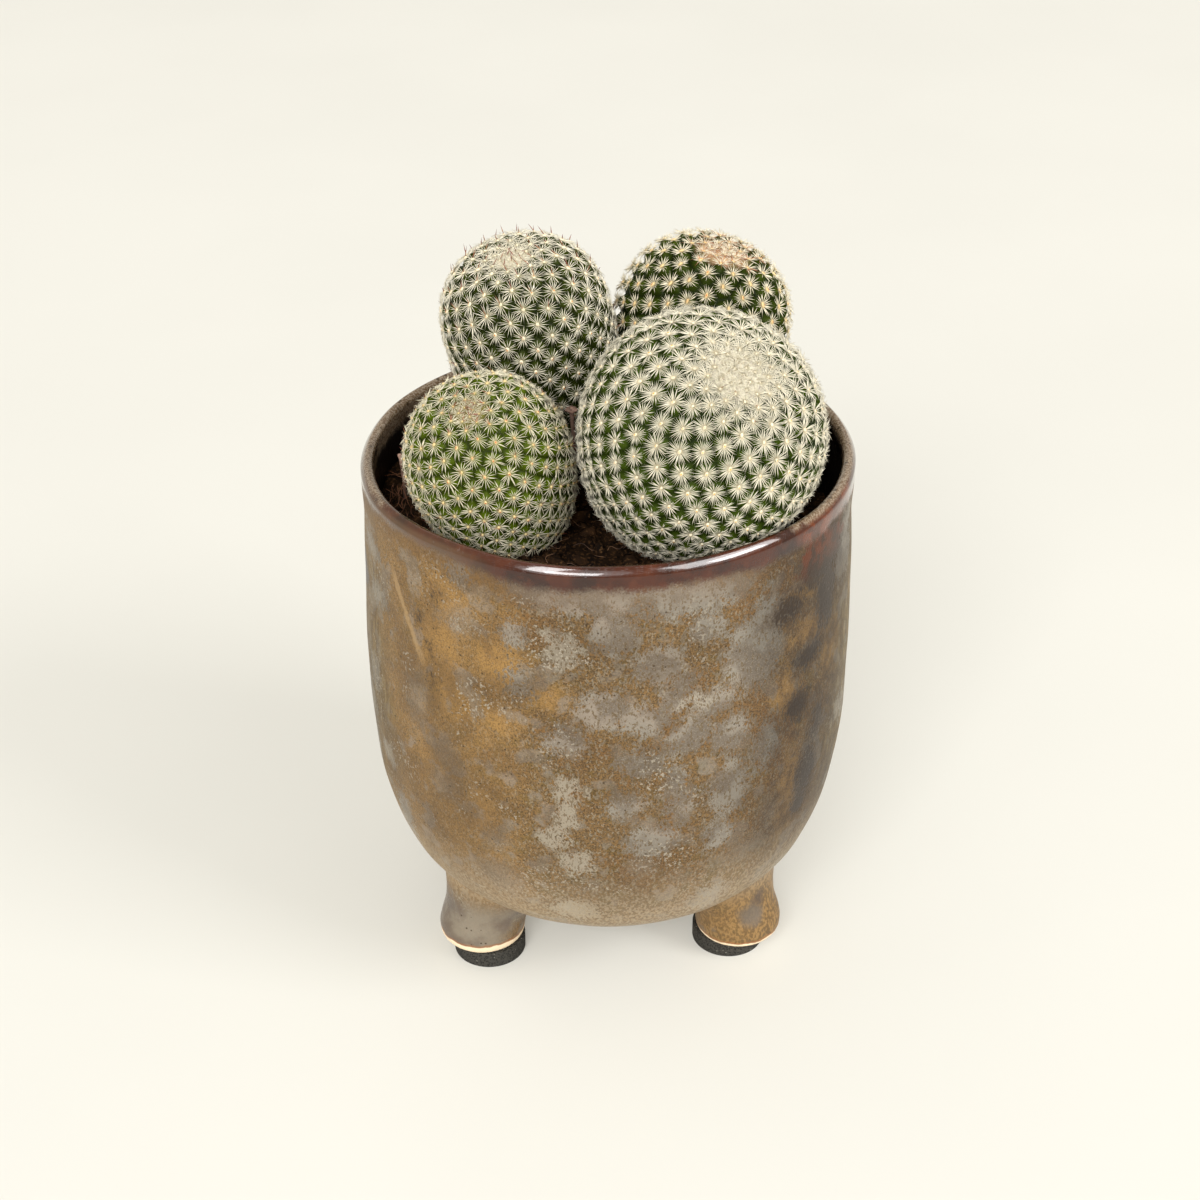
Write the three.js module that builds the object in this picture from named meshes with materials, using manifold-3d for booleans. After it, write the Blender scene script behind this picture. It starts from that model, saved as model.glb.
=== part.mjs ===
// A clump of four owl eye cactus heads in a glazed stoneware pot on three stub feet.
// Millimetres, +Z up. The origin is on the pot's axis, at the level of the surface it stands on.
import * as THREE from 'three';
import { mergeVertices } from 'three/addons/utils/BufferGeometryUtils.js';
import { ConvexHull } from 'three/addons/math/ConvexHull.js';
import Module from 'manifold-3d';

const wasm = await Module();
wasm.setup();

// The pot, thrown and then pinched a little at the rim
const rimRadius = 52.5;
const rimHeight = 119.1;
const lipRadius = 1.4;
const bellyRadius = 53.7;
const bellyHeight = 68;
const wall = 3;
const undersideHeight = 13;
const undersideRadius = 28;
const rimLift = 1.1;
const rimLiftAzimuth = -50;
const potSides = 40;

// The three feet and the foam pads stuck under them
const padHeight = 4;
const padRadius = 8.2;
const padBevel = 0.3;
const padSides = 20;
const footAzimuths = { left: 215.5, right: -31.5, back: 92 };
const padCentres = { left: [-27.3, -21.4], right: [28.1, -17.7], back: [-1.2, 33.9] };
const footReach = 34.2;
const footRadius = 9.2;
const footSides = 16;

// The soil, and the gap that keeps each piece clear of the next
const gap = 0.3;
const soilLevel = 107;
const soilDip = 5;
const soilLumps = 0.7;
const crumbCount = 18;
const crumbRadius = 1.5;

// Two dried stalks that stand in the soil: foot, top, thickness and the knob at the end
const stalks = [
  { foot: [-7.4, 3.5, 104], top: [-7.8, 2.6, 126.4], radius: 0.9, knob: 1.7 },
  { foot: [-44.0, 1.9, 104], top: [-44.4, 1.0, 117.4], radius: 0.5, knob: 0.6 },
];

// The heads: centre, lean of the axis, radius, rise to the crown, drop to the root and how
// square the sides are. Pitch is the spacing of the tubercles.
const heads = {
  head_front_right: {
    centre: [19.0, -19.6, 134.2], lean: [0.28, -0.49, 0.827], radius: 25.0, rise: 23.4, drop: 38,
    crownPower: 2, rootPower: 1.65, dimple: 1.3, dimpleWidth: 7, pitch: 7.3, brush: 0, skin: 0x4f7d2f,
  },
  head_front_left: {
    centre: [-24.4, -17.8, 126.6], lean: [-0.18, -0.44, 0.878], radius: 17.2, rise: 18.6, drop: 31,
    crownPower: 2.1, rootPower: 2, dimple: 1.2, dimpleWidth: 4, pitch: 6.6, brush: 0, skin: 0x6a9a2e,
  },
  head_back_left: {
    centre: [-17.2, 17.3, 140.8], lean: [-0.18, -0.205, 0.962], radius: 18.3, rise: 18.3, drop: 44,
    crownPower: 2.2, rootPower: 2.6, dimple: 0.8, dimpleWidth: 5, pitch: 7.0, brush: 55, skin: 0x48782f,
  },
  head_back_right: {
    centre: [20.3, 27.4, 136.1], lean: [0.25, -0.05, 0.967], radius: 19.1, rise: 19.2, drop: 34,
    crownPower: 2.2, rootPower: 1.6, dimple: 0.8, dimpleWidth: 5, pitch: 7.2, brush: 35, skin: 0x3f6f28,
  },
};
const tubercleRelief = 1.7;
const areoleRadius = 0.55;
const areoleDome = 0.2;
const spinesPerAreole = 5;
const spineLength = 2.4;
const spineLift = 22;
const brushLength = 2.4;
const goldenAngle = Math.PI * (3 - Math.sqrt(5));

const colours = { glaze: 0x8a7250, foam: 0x242322, peat: 0x3a2318 };

const degrees = (angle) => THREE.MathUtils.degToRad(angle);

// A seeded draw from 0 to 1, so that every build is alike.
function seededDraw(seed) {
  let state = seed;
  return () => {
    state = (state * 1664525 + 1013904223) % 4294967296;
    return state / 4294967296;
  };
}

// Merges shared corners, drops faces that have closed up and turns the faces outwards.
function closedMesh(geometry) {
  const bare = geometry.clone();
  bare.deleteAttribute('normal');
  bare.deleteAttribute('uv');
  const merged = mergeVertices(bare, 1e-4);
  const place = merged.attributes.position;
  const corner = (index) => new THREE.Vector3().fromBufferAttribute(place, index);
  const faces = [];
  let volume = 0;
  for (let at = 0; at < merged.index.count; at += 3) {
    const face = [0, 1, 2].map((step) => merged.index.getX(at + step));
    if (new Set(face).size === 3) {
      faces.push(face);
      const [a, b, c] = face.map(corner);
      volume += a.dot(b.cross(c));
    }
  }
  if (volume < 0) faces.forEach((face) => face.reverse());
  merged.setIndex(faces.flat());
  return merged;
}

function toSolid(geometry) {
  const mesh = closedMesh(geometry);
  const vertProperties = new Float32Array(mesh.attributes.position.array);
  const triVerts = new Uint32Array(mesh.index.array);
  return new wasm.Manifold(new wasm.Mesh({ numProp: 3, vertProperties, triVerts }));
}

function toGeometry(solid) {
  const mesh = solid.getMesh();
  const geometry = new THREE.BufferGeometry();
  geometry.setAttribute('position', new THREE.BufferAttribute(new Float32Array(mesh.vertProperties), 3));
  geometry.setIndex(Array.from(mesh.triVerts));
  return geometry;
}

// Turns a profile of [radius, height] points about the Z axis.
function turned(profile, sides) {
  const points = profile.map(([radius, height]) => new THREE.Vector2(Math.max(radius, 0), height));
  return new THREE.LatheGeometry(points, sides).rotateX(Math.PI / 2);
}

function curveThrough(points, steps) {
  const spline = new THREE.SplineCurve(points.map(([radius, height]) => new THREE.Vector2(radius, height)));
  return spline.getPoints(steps).map((point) => [point.x, point.y]);
}

// Moves every corner of a geometry by a rule.
function reshape(geometry, rule) {
  const place = geometry.attributes.position;
  const point = new THREE.Vector3();
  for (let index = 0; index < place.count; index += 1) {
    point.fromBufferAttribute(place, index);
    rule(point);
    place.setXYZ(index, point.x, point.y, point.z);
  }
  return geometry;
}

// The rim is a little higher at the front right, which the soil doesn't follow.
function liftRim(point) {
  const height = THREE.MathUtils.smoothstep(point.z, bellyHeight, rimHeight);
  const azimuth = Math.atan2(point.y, point.x) - degrees(rimLiftAzimuth);
  const edge = THREE.MathUtils.smoothstep(Math.hypot(point.x, point.y), bellyRadius * 0.5, bellyRadius * 0.9);
  point.z += rimLift * height * edge * Math.cos(azimuth);
}

function outerProfile() {
  return curveThrough([
    [undersideRadius, undersideHeight],
    [43.3, 24],
    [48.9, 33],
    [52.2, 46],
    [bellyRadius, bellyHeight],
    [52.9, 98],
    [rimRadius, rimHeight],
  ], 11);
}

// The inside of the pot, from the rim down to the floor, drawn in by a clearance.
function innerProfile(clearance, steps) {
  return curveThrough([
    [rimRadius - 2 * lipRadius - clearance, rimHeight],
    [49.8 - clearance, 98],
    [bellyRadius - wall - clearance, bellyHeight],
    [48 - clearance, 42 + clearance / 2],
    [39.5 - clearance, 27 + clearance],
    [24, undersideHeight + wall + clearance],
  ], steps);
}

function buildPot() {
  const lip = new THREE.EllipseCurve(rimRadius - lipRadius, rimHeight, lipRadius, lipRadius, 0, Math.PI);
  const lipPoints = lip.getPoints(4).slice(1, -1).map((point) => [point.x, point.y]);
  const floorHeight = undersideHeight + wall;
  const shell = turned([
    [0, undersideHeight],
    ...outerProfile(),
    ...lipPoints,
    ...innerProfile(0, 6),
    [0, floorHeight],
  ], potSides);
  const hollow = turned([
    [0, rimHeight],
    ...innerProfile(0, 6),
    [0, floorHeight],
  ], potSides);
  const hollowSolid = toSolid(reshape(hollow, liftRim));
  let pot = toSolid(reshape(shell, liftRim));
  for (const azimuth of Object.values(footAzimuths)) {
    pot = pot.add(toSolid(footGeometry(azimuth)).subtract(hollowSolid));
  }
  return toGeometry(pot);
}

// A stub foot leans out as it comes down from the belly. Each level gives its height above the
// pad, how far in from the reach its centre lies, and how much wider it is than at the ground.
function footGeometry(azimuth) {
  const levels = [[0, 0, 0], [1.2, -0.1, 0.7], [4.5, 0, 0.9], [9, 1.2, 1.6], [13, 3.6, 3.6], [22, 9.4, 9]];
  const profile = levels.map(([height, , extra]) => [footRadius + extra, padHeight + height]);
  const top = profile.at(-1)[1];
  const foot = turned([[0, padHeight], ...profile, [0, top]], footSides);
  const inset = (height) => {
    const above = levels.findIndex(([level]) => level + padHeight >= height - 1e-6);
    return levels[Math.max(above, 0)][1];
  };
  reshape(foot, (point) => {
    point.x += footReach - inset(point.z);
  });
  return foot.rotateZ(degrees(azimuth));
}

function buildPad(name) {
  const pad = turned([
    [0, 0],
    [padRadius - padBevel, 0],
    [padRadius, padBevel],
    [padRadius, padHeight - padBevel],
    [padRadius - padBevel, padHeight],
    [0, padHeight],
  ], padSides);
  const [x, y] = padCentres[name];
  return closedMesh(pad.translate(x, y, 0));
}

// The soil's top dips to the right and is a little lumpy.
function soilHeight(x, y) {
  const dip = soilDip * THREE.MathUtils.smoothstep(x, 5, 45);
  const lumps = Math.sin(x * 0.31 + 1) * Math.cos(y * 0.27) + 0.6 * Math.sin(x * 0.13 - y * 0.19);
  return soilLevel - dip + soilLumps * lumps;
}

function buildSoil() {
  const side = innerProfile(gap, 6).filter(([, height]) => height < soilLevel - soilDip - 3).reverse();
  const edge = rimRadius - 2 * lipRadius - gap - 0.1;
  const bed = turned([
    [0, undersideHeight + wall + gap],
    ...side,
    [edge, soilLevel],
    [edge * 0.7, soilLevel],
    [edge * 0.35, soilLevel],
    [0, soilLevel],
  ], potSides / 2);
  reshape(bed, (point) => {
    if (point.z > soilLevel - 0.1) point.z = soilHeight(point.x, point.y);
  });
  let soil = toSolid(bed);
  const draw = seededDraw(7);
  for (let index = 0; index < crumbCount; index += 1) {
    const reach = edge * 0.92 * Math.sqrt(draw());
    const azimuth = 2 * Math.PI * draw();
    const size = crumbRadius * (0.6 + 0.7 * draw());
    const crumb = new THREE.OctahedronGeometry(size);
    if (index % 2) crumb.scale(1.7, 0.8, 0.7);
    crumb.rotateZ(2 * Math.PI * draw());
    const x = reach * Math.cos(azimuth);
    const y = reach * Math.sin(azimuth);
    crumb.translate(x, y, soilHeight(x, y) - 0.1 * size);
    soil = soil.add(toSolid(crumb));
  }
  for (const head of Object.values(heads)) {
    soil = soil.subtract(toSolid(rootHole(head)));
  }
  for (const stalk of stalks) {
    soil = soil.add(toSolid(stalkGeometry(stalk))).add(toSolid(knobGeometry(stalk)));
  }
  const pieces = soil.decompose().sort((a, b) => b.volume() - a.volume());
  return toGeometry(pieces[0]);
}

// A dried stalk, drawn out along a slight bow.
function stalkGeometry({ foot, top, radius }) {
  const middle = foot.map((value, axis) => (value + top[axis]) / 2 + (axis === 0 ? radius : 0));
  const path = new THREE.CatmullRomCurve3([foot, middle, top].map((point) => new THREE.Vector3(...point)));
  const section = new THREE.Shape(new THREE.EllipseCurve(0, 0, radius, radius).getPoints(6).slice(0, -1));
  return new THREE.ExtrudeGeometry(section, { steps: 4, extrudePath: path });
}

function knobGeometry({ top, knob }) {
  return new THREE.IcosahedronGeometry(knob).translate(...top);
}

// Points down a head's side from the crown to the root, as [radius, height] about its axis.
function headProfile(head, clearance, steps) {
  const profile = [];
  for (let step = 0; step <= steps; step += 1) {
    const turn = Math.PI * (step / steps);
    const upper = turn < Math.PI / 2;
    const power = upper ? head.crownPower : head.rootPower;
    const reach = (upper ? head.rise : head.drop) + clearance;
    const radius = (head.radius + clearance) * Math.sin(turn) ** (2 / power);
    const height = Math.sign(Math.cos(turn)) * reach * Math.abs(Math.cos(turn)) ** (2 / power);
    const sink = upper ? head.dimple * Math.exp(-((radius / head.dimpleWidth) ** 2)) : 0;
    profile.push([step % steps ? radius : 0, height - sink]);
  }
  return profile;
}

function headFrame(head) {
  const axis = new THREE.Vector3(...head.lean).normalize();
  const turn = new THREE.Quaternion().setFromUnitVectors(new THREE.Vector3(0, 0, 1), axis);
  return new THREE.Matrix4().compose(new THREE.Vector3(...head.centre), turn, new THREE.Vector3(1, 1, 1));
}

// The plain hole that a head stands in: its own root, a gap wider.
function rootHole(head) {
  return turned(headProfile(head, gap + 0.1, 14), 14).applyMatrix4(headFrame(head));
}

// How far a point lies outside another head's skin, roughly, in millimetres.
function clearanceTo(head, point) {
  const local = point.clone().applyMatrix4(headFrame(head).invert());
  const upper = local.z > 0;
  const power = upper ? head.crownPower : head.rootPower;
  const reach = Math.abs(local.z) / (upper ? head.rise : head.drop);
  const radius = Math.hypot(local.x, local.y) / head.radius;
  const size = (reach ** power + radius ** power) ** (1 / power);
  return local.length() * (1 - 1 / size);
}

// A spine keeps clear of the other heads, the stalks, the soil and the pot's lip.
function isClear(point, own) {
  const room = spineLength * Math.sin(degrees(spineLift)) + 2 * gap;
  if (stalks.some(({ top, knob }) => Math.hypot(point.x - top[0], point.y - top[1]) < knob + 4 * gap)) {
    return false;
  }
  if (Object.values(heads).some((head) => head !== own && clearanceTo(head, point) < room)) return false;
  if (point.z < soilHeight(point.x, point.y) + crumbRadius + gap) return false;
  return point.z > rimHeight + 2 * rimLift + lipRadius || Math.hypot(point.x, point.y) < 48.8;
}

// Measures along a head's side: radius, height, skin area so far, and the latitude on a ball
// that keeps every angle, so that the ball's mesh of neighbours fits the head.
function sideTable(head) {
  const profile = headProfile(head, 0, 400);
  const rows = [];
  let area = 0;
  let stretch = 0;
  for (let index = 1; index < profile.length; index += 1) {
    const [radius0, height0] = profile[index - 1];
    const [radius1, height1] = profile[index];
    const radius = (radius0 + radius1) / 2;
    const length = Math.hypot(radius1 - radius0, height1 - height0);
    area += 2 * Math.PI * radius * length;
    stretch += length / radius;
    const normal = new THREE.Vector2(height0 - height1, radius1 - radius0).normalize();
    rows.push({ radius, height: (height0 + height1) / 2, area, stretch, normal });
  }
  const equator = rows.reduce((widest, row) => (row.radius > widest.radius ? row : widest));
  rows.forEach((row) => {
    row.latitude = equator.stretch - row.stretch;
  });
  return rows;
}

// Tubercles follow each other by the golden angle, each taking an equal share of the skin.
function placeTubercles(head) {
  const rows = sideTable(head);
  const whole = rows.at(-1).area;
  const count = Math.round(whole / (0.866 * head.pitch ** 2));
  const frame = headFrame(head);
  const turn = new THREE.Quaternion().setFromRotationMatrix(frame);
  const tubercles = [];
  let at = 0;
  for (let index = 0; index < count; index += 1) {
    const share = ((index + 0.5) / count) * whole;
    while (rows[at].area < share) at += 1;
    const { radius, height, latitude, normal } = rows[at];
    const azimuth = index * goldenAngle;
    const aside = new THREE.Vector3(Math.cos(azimuth), Math.sin(azimuth), 0);
    const outward = new THREE.Vector3(aside.x * normal.x, aside.y * normal.x, normal.y);
    const seat = new THREE.Vector3(aside.x * radius, aside.y * radius, height);
    const ring = 1 / Math.cosh(latitude);
    tubercles.push({
      seat: seat.applyMatrix4(frame),
      outward: outward.applyQuaternion(turn).normalize(),
      around: new THREE.Vector3(-aside.y, aside.x, 0).applyQuaternion(turn),
      onBall: new THREE.Vector3(aside.x * ring, aside.y * ring, Math.tanh(latitude)),
      fromCrown: share / whole,
      valleys: [],
    });
  }
  return tubercles;
}

// Between each three neighbours the skin falls to a valley.
function findValleys(tubercles) {
  const hull = new ConvexHull().setFromPoints(tubercles.map(({ onBall }) => onBall));
  const owner = new Map(tubercles.map((tubercle) => [tubercle.onBall, tubercle]));
  for (const face of hull.faces) {
    const corners = [0, 1, 2].map((step) => owner.get(face.getEdge(step).head().point));
    const valley = new THREE.Vector3();
    const outward = new THREE.Vector3();
    corners.forEach((corner) => {
      valley.addScaledVector(corner.seat, 1 / 3);
      outward.add(corner.outward);
    });
    const depth = corners.every(({ plain }) => plain) ? 0 : tubercleRelief;
    valley.addScaledVector(outward.normalize(), -depth);
    corners.forEach((corner) => corner.valleys.push(valley));
  }
}

// The direction in which a point lies about a tubercle, and that direction's vector.
function bearing(tubercle, point) {
  const side = new THREE.Vector3().crossVectors(tubercle.outward, tubercle.around);
  const offset = point.clone().sub(tubercle.seat);
  return Math.atan2(offset.dot(side), offset.dot(tubercle.around));
}

function direction(tubercle, angle) {
  const side = new THREE.Vector3().crossVectors(tubercle.outward, tubercle.around);
  return tubercle.around.clone().multiplyScalar(Math.cos(angle)).addScaledVector(side, Math.sin(angle));
}

// One tubercle: sloping sides up from its valleys to a small domed areole, whose faces are
// drawn out into a star of spines, or into one straight bristle near a bristly crown.
function growTubercle(tubercle, head, angleOffset, addFace) {
  const { seat, outward, valleys } = tubercle;
  const rim = valleys.map((point) => ({ point, angle: bearing(tubercle, point) }));
  rim.sort((a, b) => a.angle - b.angle);
  if (tubercle.plain) {
    rim.forEach(({ point }, index) => addFace(seat, point, rim[(index + 1) % rim.length].point));
    return;
  }
  const areole = [];
  for (let index = 0; index < spinesPerAreole; index += 1) {
    const angle = -Math.PI + (2 * Math.PI * (index + angleOffset)) / spinesPerAreole;
    const point = seat.clone().addScaledVector(direction(tubercle, angle), areoleRadius);
    areole.push({ point: point.addScaledVector(outward, -areoleDome), angle });
  }
  joinRings(rim, areole, addFace);
  const bristly = tubercle.tilt < degrees(head.brush);
  const top = seat.clone();
  if (bristly) top.addScaledVector(outward, brushLength);
  areole.forEach(({ point, angle }, index) => {
    const next = areole[(index + 1) % spinesPerAreole].point;
    const tip = bristly ? null : spineTip(tubercle, head, angle + Math.PI / spinesPerAreole);
    if (!tip) {
      addFace(top, point, next);
      return;
    }
    addFace(top, point, tip);
    addFace(point, next, tip);
    addFace(next, top, tip);
  });
}

// The tip of a spine, bent down close to the skin where another piece is near.
function spineTip(tubercle, head, angle) {
  for (const lift of [spineLift, spineLift / 2]) {
    const tip = tubercle.seat.clone();
    tip.addScaledVector(direction(tubercle, angle), areoleRadius + spineLength * Math.cos(degrees(lift)));
    tip.addScaledVector(tubercle.outward, spineLength * Math.sin(degrees(lift)));
    if (isClear(tip, head)) return tip;
  }
  return null;
}

// Closes the band between the outer ring of valleys and the areole, both in order of angle.
function joinRings(outer, inner, addFace) {
  let outerAt = 0;
  let innerAt = 0;
  const angleAt = (ring, index) => ring[index % ring.length].angle + 2 * Math.PI * Math.floor(index / ring.length);
  while (outerAt < outer.length || innerAt < inner.length) {
    const outerNow = outer[outerAt % outer.length].point;
    const innerNow = inner[innerAt % inner.length].point;
    const stepOuter = innerAt >= inner.length
      || (outerAt < outer.length && angleAt(outer, outerAt + 1) < angleAt(inner, innerAt + 1));
    if (stepOuter) {
      outerAt += 1;
      addFace(outerNow, outer[outerAt % outer.length].point, innerNow);
    } else {
      innerAt += 1;
      addFace(outerNow, inner[innerAt % inner.length].point, innerNow);
    }
  }
}

function buildHead(head) {
  const tubercles = placeTubercles(head);
  const axis = new THREE.Vector3(...head.lean).normalize();
  tubercles.forEach((tubercle) => {
    const { seat, outward } = tubercle;
    tubercle.tilt = outward.angleTo(axis);
    tubercle.plain = seat.z < soilHeight(seat.x, seat.y) + crumbRadius + gap;
  });
  findValleys(tubercles);
  const corners = [];
  const addFace = (...points) => points.forEach((point) => corners.push(point.x, point.y, point.z));
  tubercles.forEach((tubercle, index) => {
    growTubercle(tubercle, head, (index * 0.37) % 1, addFace);
  });
  const geometry = new THREE.BufferGeometry();
  geometry.setAttribute('position', new THREE.Float32BufferAttribute(corners, 3));
  return closedMesh(geometry);
}

const potted = new THREE.Group();

function addPiece(name, geometry, color, roughness, metalness) {
  const material = new THREE.MeshStandardMaterial({ color, roughness, metalness });
  const mesh = new THREE.Mesh(geometry, material);
  mesh.name = name;
  potted.add(mesh);
}

addPiece('pot', buildPot(), colours.glaze, 0.35, 0.4);
for (const name of Object.keys(footAzimuths)) {
  addPiece(`foam_pad_${name}`, buildPad(name), colours.foam, 0.95, 0);
}
addPiece('soil', buildSoil(), colours.peat, 1, 0);
for (const [name, head] of Object.entries(heads)) {
  addPiece(name, buildHead(head), head.skin, 0.6, 0);
}

export default potted;
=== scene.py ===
import math
import random

import bmesh
import bpy
from mathutils import Matrix, Vector, kdtree, noise


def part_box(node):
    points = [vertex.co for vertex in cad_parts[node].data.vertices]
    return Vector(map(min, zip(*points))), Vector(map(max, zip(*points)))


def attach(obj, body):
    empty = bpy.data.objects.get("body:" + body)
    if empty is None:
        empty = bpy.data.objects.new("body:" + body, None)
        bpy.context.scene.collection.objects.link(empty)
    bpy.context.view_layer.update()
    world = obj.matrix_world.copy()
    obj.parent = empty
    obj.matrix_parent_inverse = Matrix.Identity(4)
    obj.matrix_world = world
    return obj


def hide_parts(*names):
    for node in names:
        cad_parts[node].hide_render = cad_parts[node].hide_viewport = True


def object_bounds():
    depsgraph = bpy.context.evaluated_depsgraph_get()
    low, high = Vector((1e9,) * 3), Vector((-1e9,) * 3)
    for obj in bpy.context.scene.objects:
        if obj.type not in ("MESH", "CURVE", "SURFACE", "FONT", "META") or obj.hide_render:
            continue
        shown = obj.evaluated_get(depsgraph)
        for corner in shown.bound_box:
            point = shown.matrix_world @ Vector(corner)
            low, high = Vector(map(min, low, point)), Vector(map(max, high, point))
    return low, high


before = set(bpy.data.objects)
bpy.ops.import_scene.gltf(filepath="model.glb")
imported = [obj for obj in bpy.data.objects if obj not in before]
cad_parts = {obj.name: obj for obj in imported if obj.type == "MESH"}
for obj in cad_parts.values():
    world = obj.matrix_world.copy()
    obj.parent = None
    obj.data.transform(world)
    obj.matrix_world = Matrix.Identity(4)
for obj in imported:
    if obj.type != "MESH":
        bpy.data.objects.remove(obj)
cad_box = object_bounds()

# The floor is a plain, pale, matt sheet under the pot, wide enough to fill the view from above, and it
# glows faintly as painted light that fills in the shadows round the pot.
# The pale room lights it all round, with two broad soft lamps and two strips in front and one
# lamp overhead. The two gleam lamps only show in glossy glaze, as the white gleams on the lip.
# The camera looks down at the pot from well above it, as the photograph does.
mm = 0.001
floor_reach = 3.0
camera_place = (-0.00173, -0.41204, 0.34353)
camera_tilt = 57.54
camera_lens = 66.09
room_glow = 0.55
floor_glow = 0.27
big_lamps = {
    "lamp_left": {"towards": (-0.8, -2.2, 1.85), "spread": 46, "strength": 0.92},
    "lamp_right": {"towards": (1.9, -1.5, 1.9), "spread": 46, "strength": 0.6},
}
small_lamps = {
    "strip_left": {"place": (-0.66, -2.3, 1.83), "size": 1.2, "height": 0.64, "watts": 50},
    "strip_right": {"place": (2.2, -1.1, 1.93), "size": 1.2, "height": 0.64, "watts": 46},
    "lamp_top": {"place": (-0.5, 0.8, 2.4), "size": 2.0, "height": 2.0, "watts": 9},
    "gleam_left": {"place": (-0.56, -0.84, 1.23), "size": 0.36, "height": 0.9, "watts": 17},
    "gleam_right": {"place": (0.95, -0.6, 1.14), "size": 1.2, "height": 0.7, "watts": 30},
}
lamp_aim = Vector((0, 0, 0.07))


def paint(red, green, blue):
    """A colour given as 0 to 255 on a screen, as a shader takes it."""
    return tuple(((part / 255 + 0.055) / 1.055) ** 2.4 for part in (red, green, blue)) + (1.0,)


def feed(socket, value):
    """Links a socket to what feeds it, or sets its plain value."""
    if isinstance(value, bpy.types.NodeSocket):
        socket.id_data.links.new(value, socket)
    else:
        socket.default_value = value


def add_node(tree, kind, feeds=None, **settings):
    """A shader node with its settings made and its inputs fed by name or number."""
    made = tree.nodes.new(kind)
    for setting, value in settings.items():
        setattr(made, setting, value)
    for label, value in (feeds or {}).items():
        feed(made.inputs[label], value)
    return made


def worked(kind, feeds, output=0, **settings):
    """What a new node makes of its inputs, in the tree that the first linked input is in."""
    tree = next(value.id_data for value in feeds.values() if isinstance(value, bpy.types.NodeSocket))
    return add_node(tree, kind, feeds, **settings).outputs[output]


def lay(mask, under, over):
    """One colour laid over another where the mask is 1."""
    return worked("ShaderNodeMix", {0: mask, 6: under, 7: over}, 2, data_type="RGBA")


def ramp(value, low, high, bottom=0.0, top=1.0):
    """A mask that rises smoothly as a value goes from low to high."""
    feeds = {0: value, 1: low, 2: high, 3: bottom, 4: top}
    return worked("ShaderNodeMapRange", feeds, interpolation_type="SMOOTHSTEP")


def sum_of(operation, first, second=0.0):
    """One sum on two values."""
    return worked("ShaderNodeMath", {0: first, 1: second}, operation=operation)


def times(first, second):
    return sum_of("MULTIPLY", first, second)


def plus(first, second):
    return sum_of("ADD", first, second)


def minus(first, second):
    return sum_of("SUBTRACT", first, second)


def larger(first, second):
    return sum_of("MAXIMUM", first, second)


def wavered(value, wave, reach):
    """A value pushed to and fro by a noise from 0 to 1, over a reach in all."""
    return plus(value, times(minus(wave, 0.5), reach))


def of_vectors(operation, first, second=(0.0, 0.0, 0.0), output=0):
    """One sum on two vectors."""
    return worked("ShaderNodeVectorMath", {0: first, 1: second}, output, operation=operation)


def place_in(tree):
    """Where a point of a surface lies, in the piece's own coordinates."""
    return add_node(tree, "ShaderNodeTexCoord").outputs["Object"]


def marked(tree, name):
    """What a piece's mesh says of each point under an attribute's name."""
    return add_node(tree, "ShaderNodeAttribute", attribute_name=name).outputs["Fac"]


def new_group(name, inputs, outputs):
    """An empty shader node group with its sockets made, each input with its usual value."""
    tree = bpy.data.node_groups.new(name, "ShaderNodeTree")
    for label, value in inputs.items():
        kind = "NodeSocketVector" if isinstance(value, tuple) else "NodeSocketFloat"
        tree.interface.new_socket(label, in_out="INPUT", socket_type=kind).default_value = value
    for label in outputs:
        tree.interface.new_socket(label, in_out="OUTPUT", socket_type="NodeSocketFloat")
    return tree, tree.nodes.new("NodeGroupInput"), tree.nodes.new("NodeGroupOutput")


# Soft patches of a given size, used wherever a surface varies in tone
patches, patches_in, patches_out = new_group(
    "patches",
    {"Scale": 100.0, "Detail": 3.0, "Low": 0.4, "High": 0.6, "Stretch": (1.0, 1.0, 1.0)},
    ["Mask", "Value"],
)
stretched = of_vectors("MULTIPLY", place_in(patches), patches_in.outputs["Stretch"])
feeds = {"Vector": stretched, **{label: patches_in.outputs[label] for label in ("Scale", "Detail")}}
drift = worked("ShaderNodeTexNoise", feeds)
feed(patches_out.inputs["Mask"], ramp(drift, patches_in.outputs["Low"], patches_in.outputs["High"]))
feed(patches_out.inputs["Value"], drift)

# Scattered specks, of which only a share of the cells has one
specks, specks_in, specks_out = new_group(
    "specks", {"Scale": 800.0, "Size": 0.3, "Share": 0.3}, ["Mask", "Distance"]
)
feeds = {"Vector": place_in(specks), "Scale": specks_in.outputs["Scale"]}
cells = add_node(specks, "ShaderNodeTexVoronoi", feeds).outputs
drawn = worked("ShaderNodeSeparateColor", {0: cells["Color"]})
dot = ramp(cells["Distance"], specks_in.outputs["Size"], times(specks_in.outputs["Size"], 0.6))
chosen = sum_of("LESS_THAN", drawn, specks_in.outputs["Share"])
feed(specks_out.inputs["Mask"], times(dot, chosen))
feed(specks_out.inputs["Distance"], cells["Distance"])


def patches_in_use(tree, scale, low, high, detail=3.0, stretch=(1.0, 1.0, 1.0)):
    """A mask of soft patches, between two levels of their noise."""
    feeds = {"Scale": scale, "Low": low, "High": high, "Detail": detail, "Stretch": stretch}
    return add_node(tree, "ShaderNodeGroup", feeds, node_tree=patches).outputs["Mask"]


def drift_in_use(tree, scale, detail=3.0, stretch=(1.0, 1.0, 1.0)):
    """The noise of the patches itself, from 0 to 1."""
    feeds = {"Scale": scale, "Detail": detail, "Stretch": stretch}
    return add_node(tree, "ShaderNodeGroup", feeds, node_tree=patches).outputs["Value"]


def specks_in_use(tree, scale, size, share, output="Mask"):
    """A mask of specks, or how far each place is from the middle of its cell."""
    feeds = {"Scale": scale, "Size": size, "Share": share}
    return add_node(tree, "ShaderNodeGroup", feeds, node_tree=specks).outputs[output]


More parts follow.
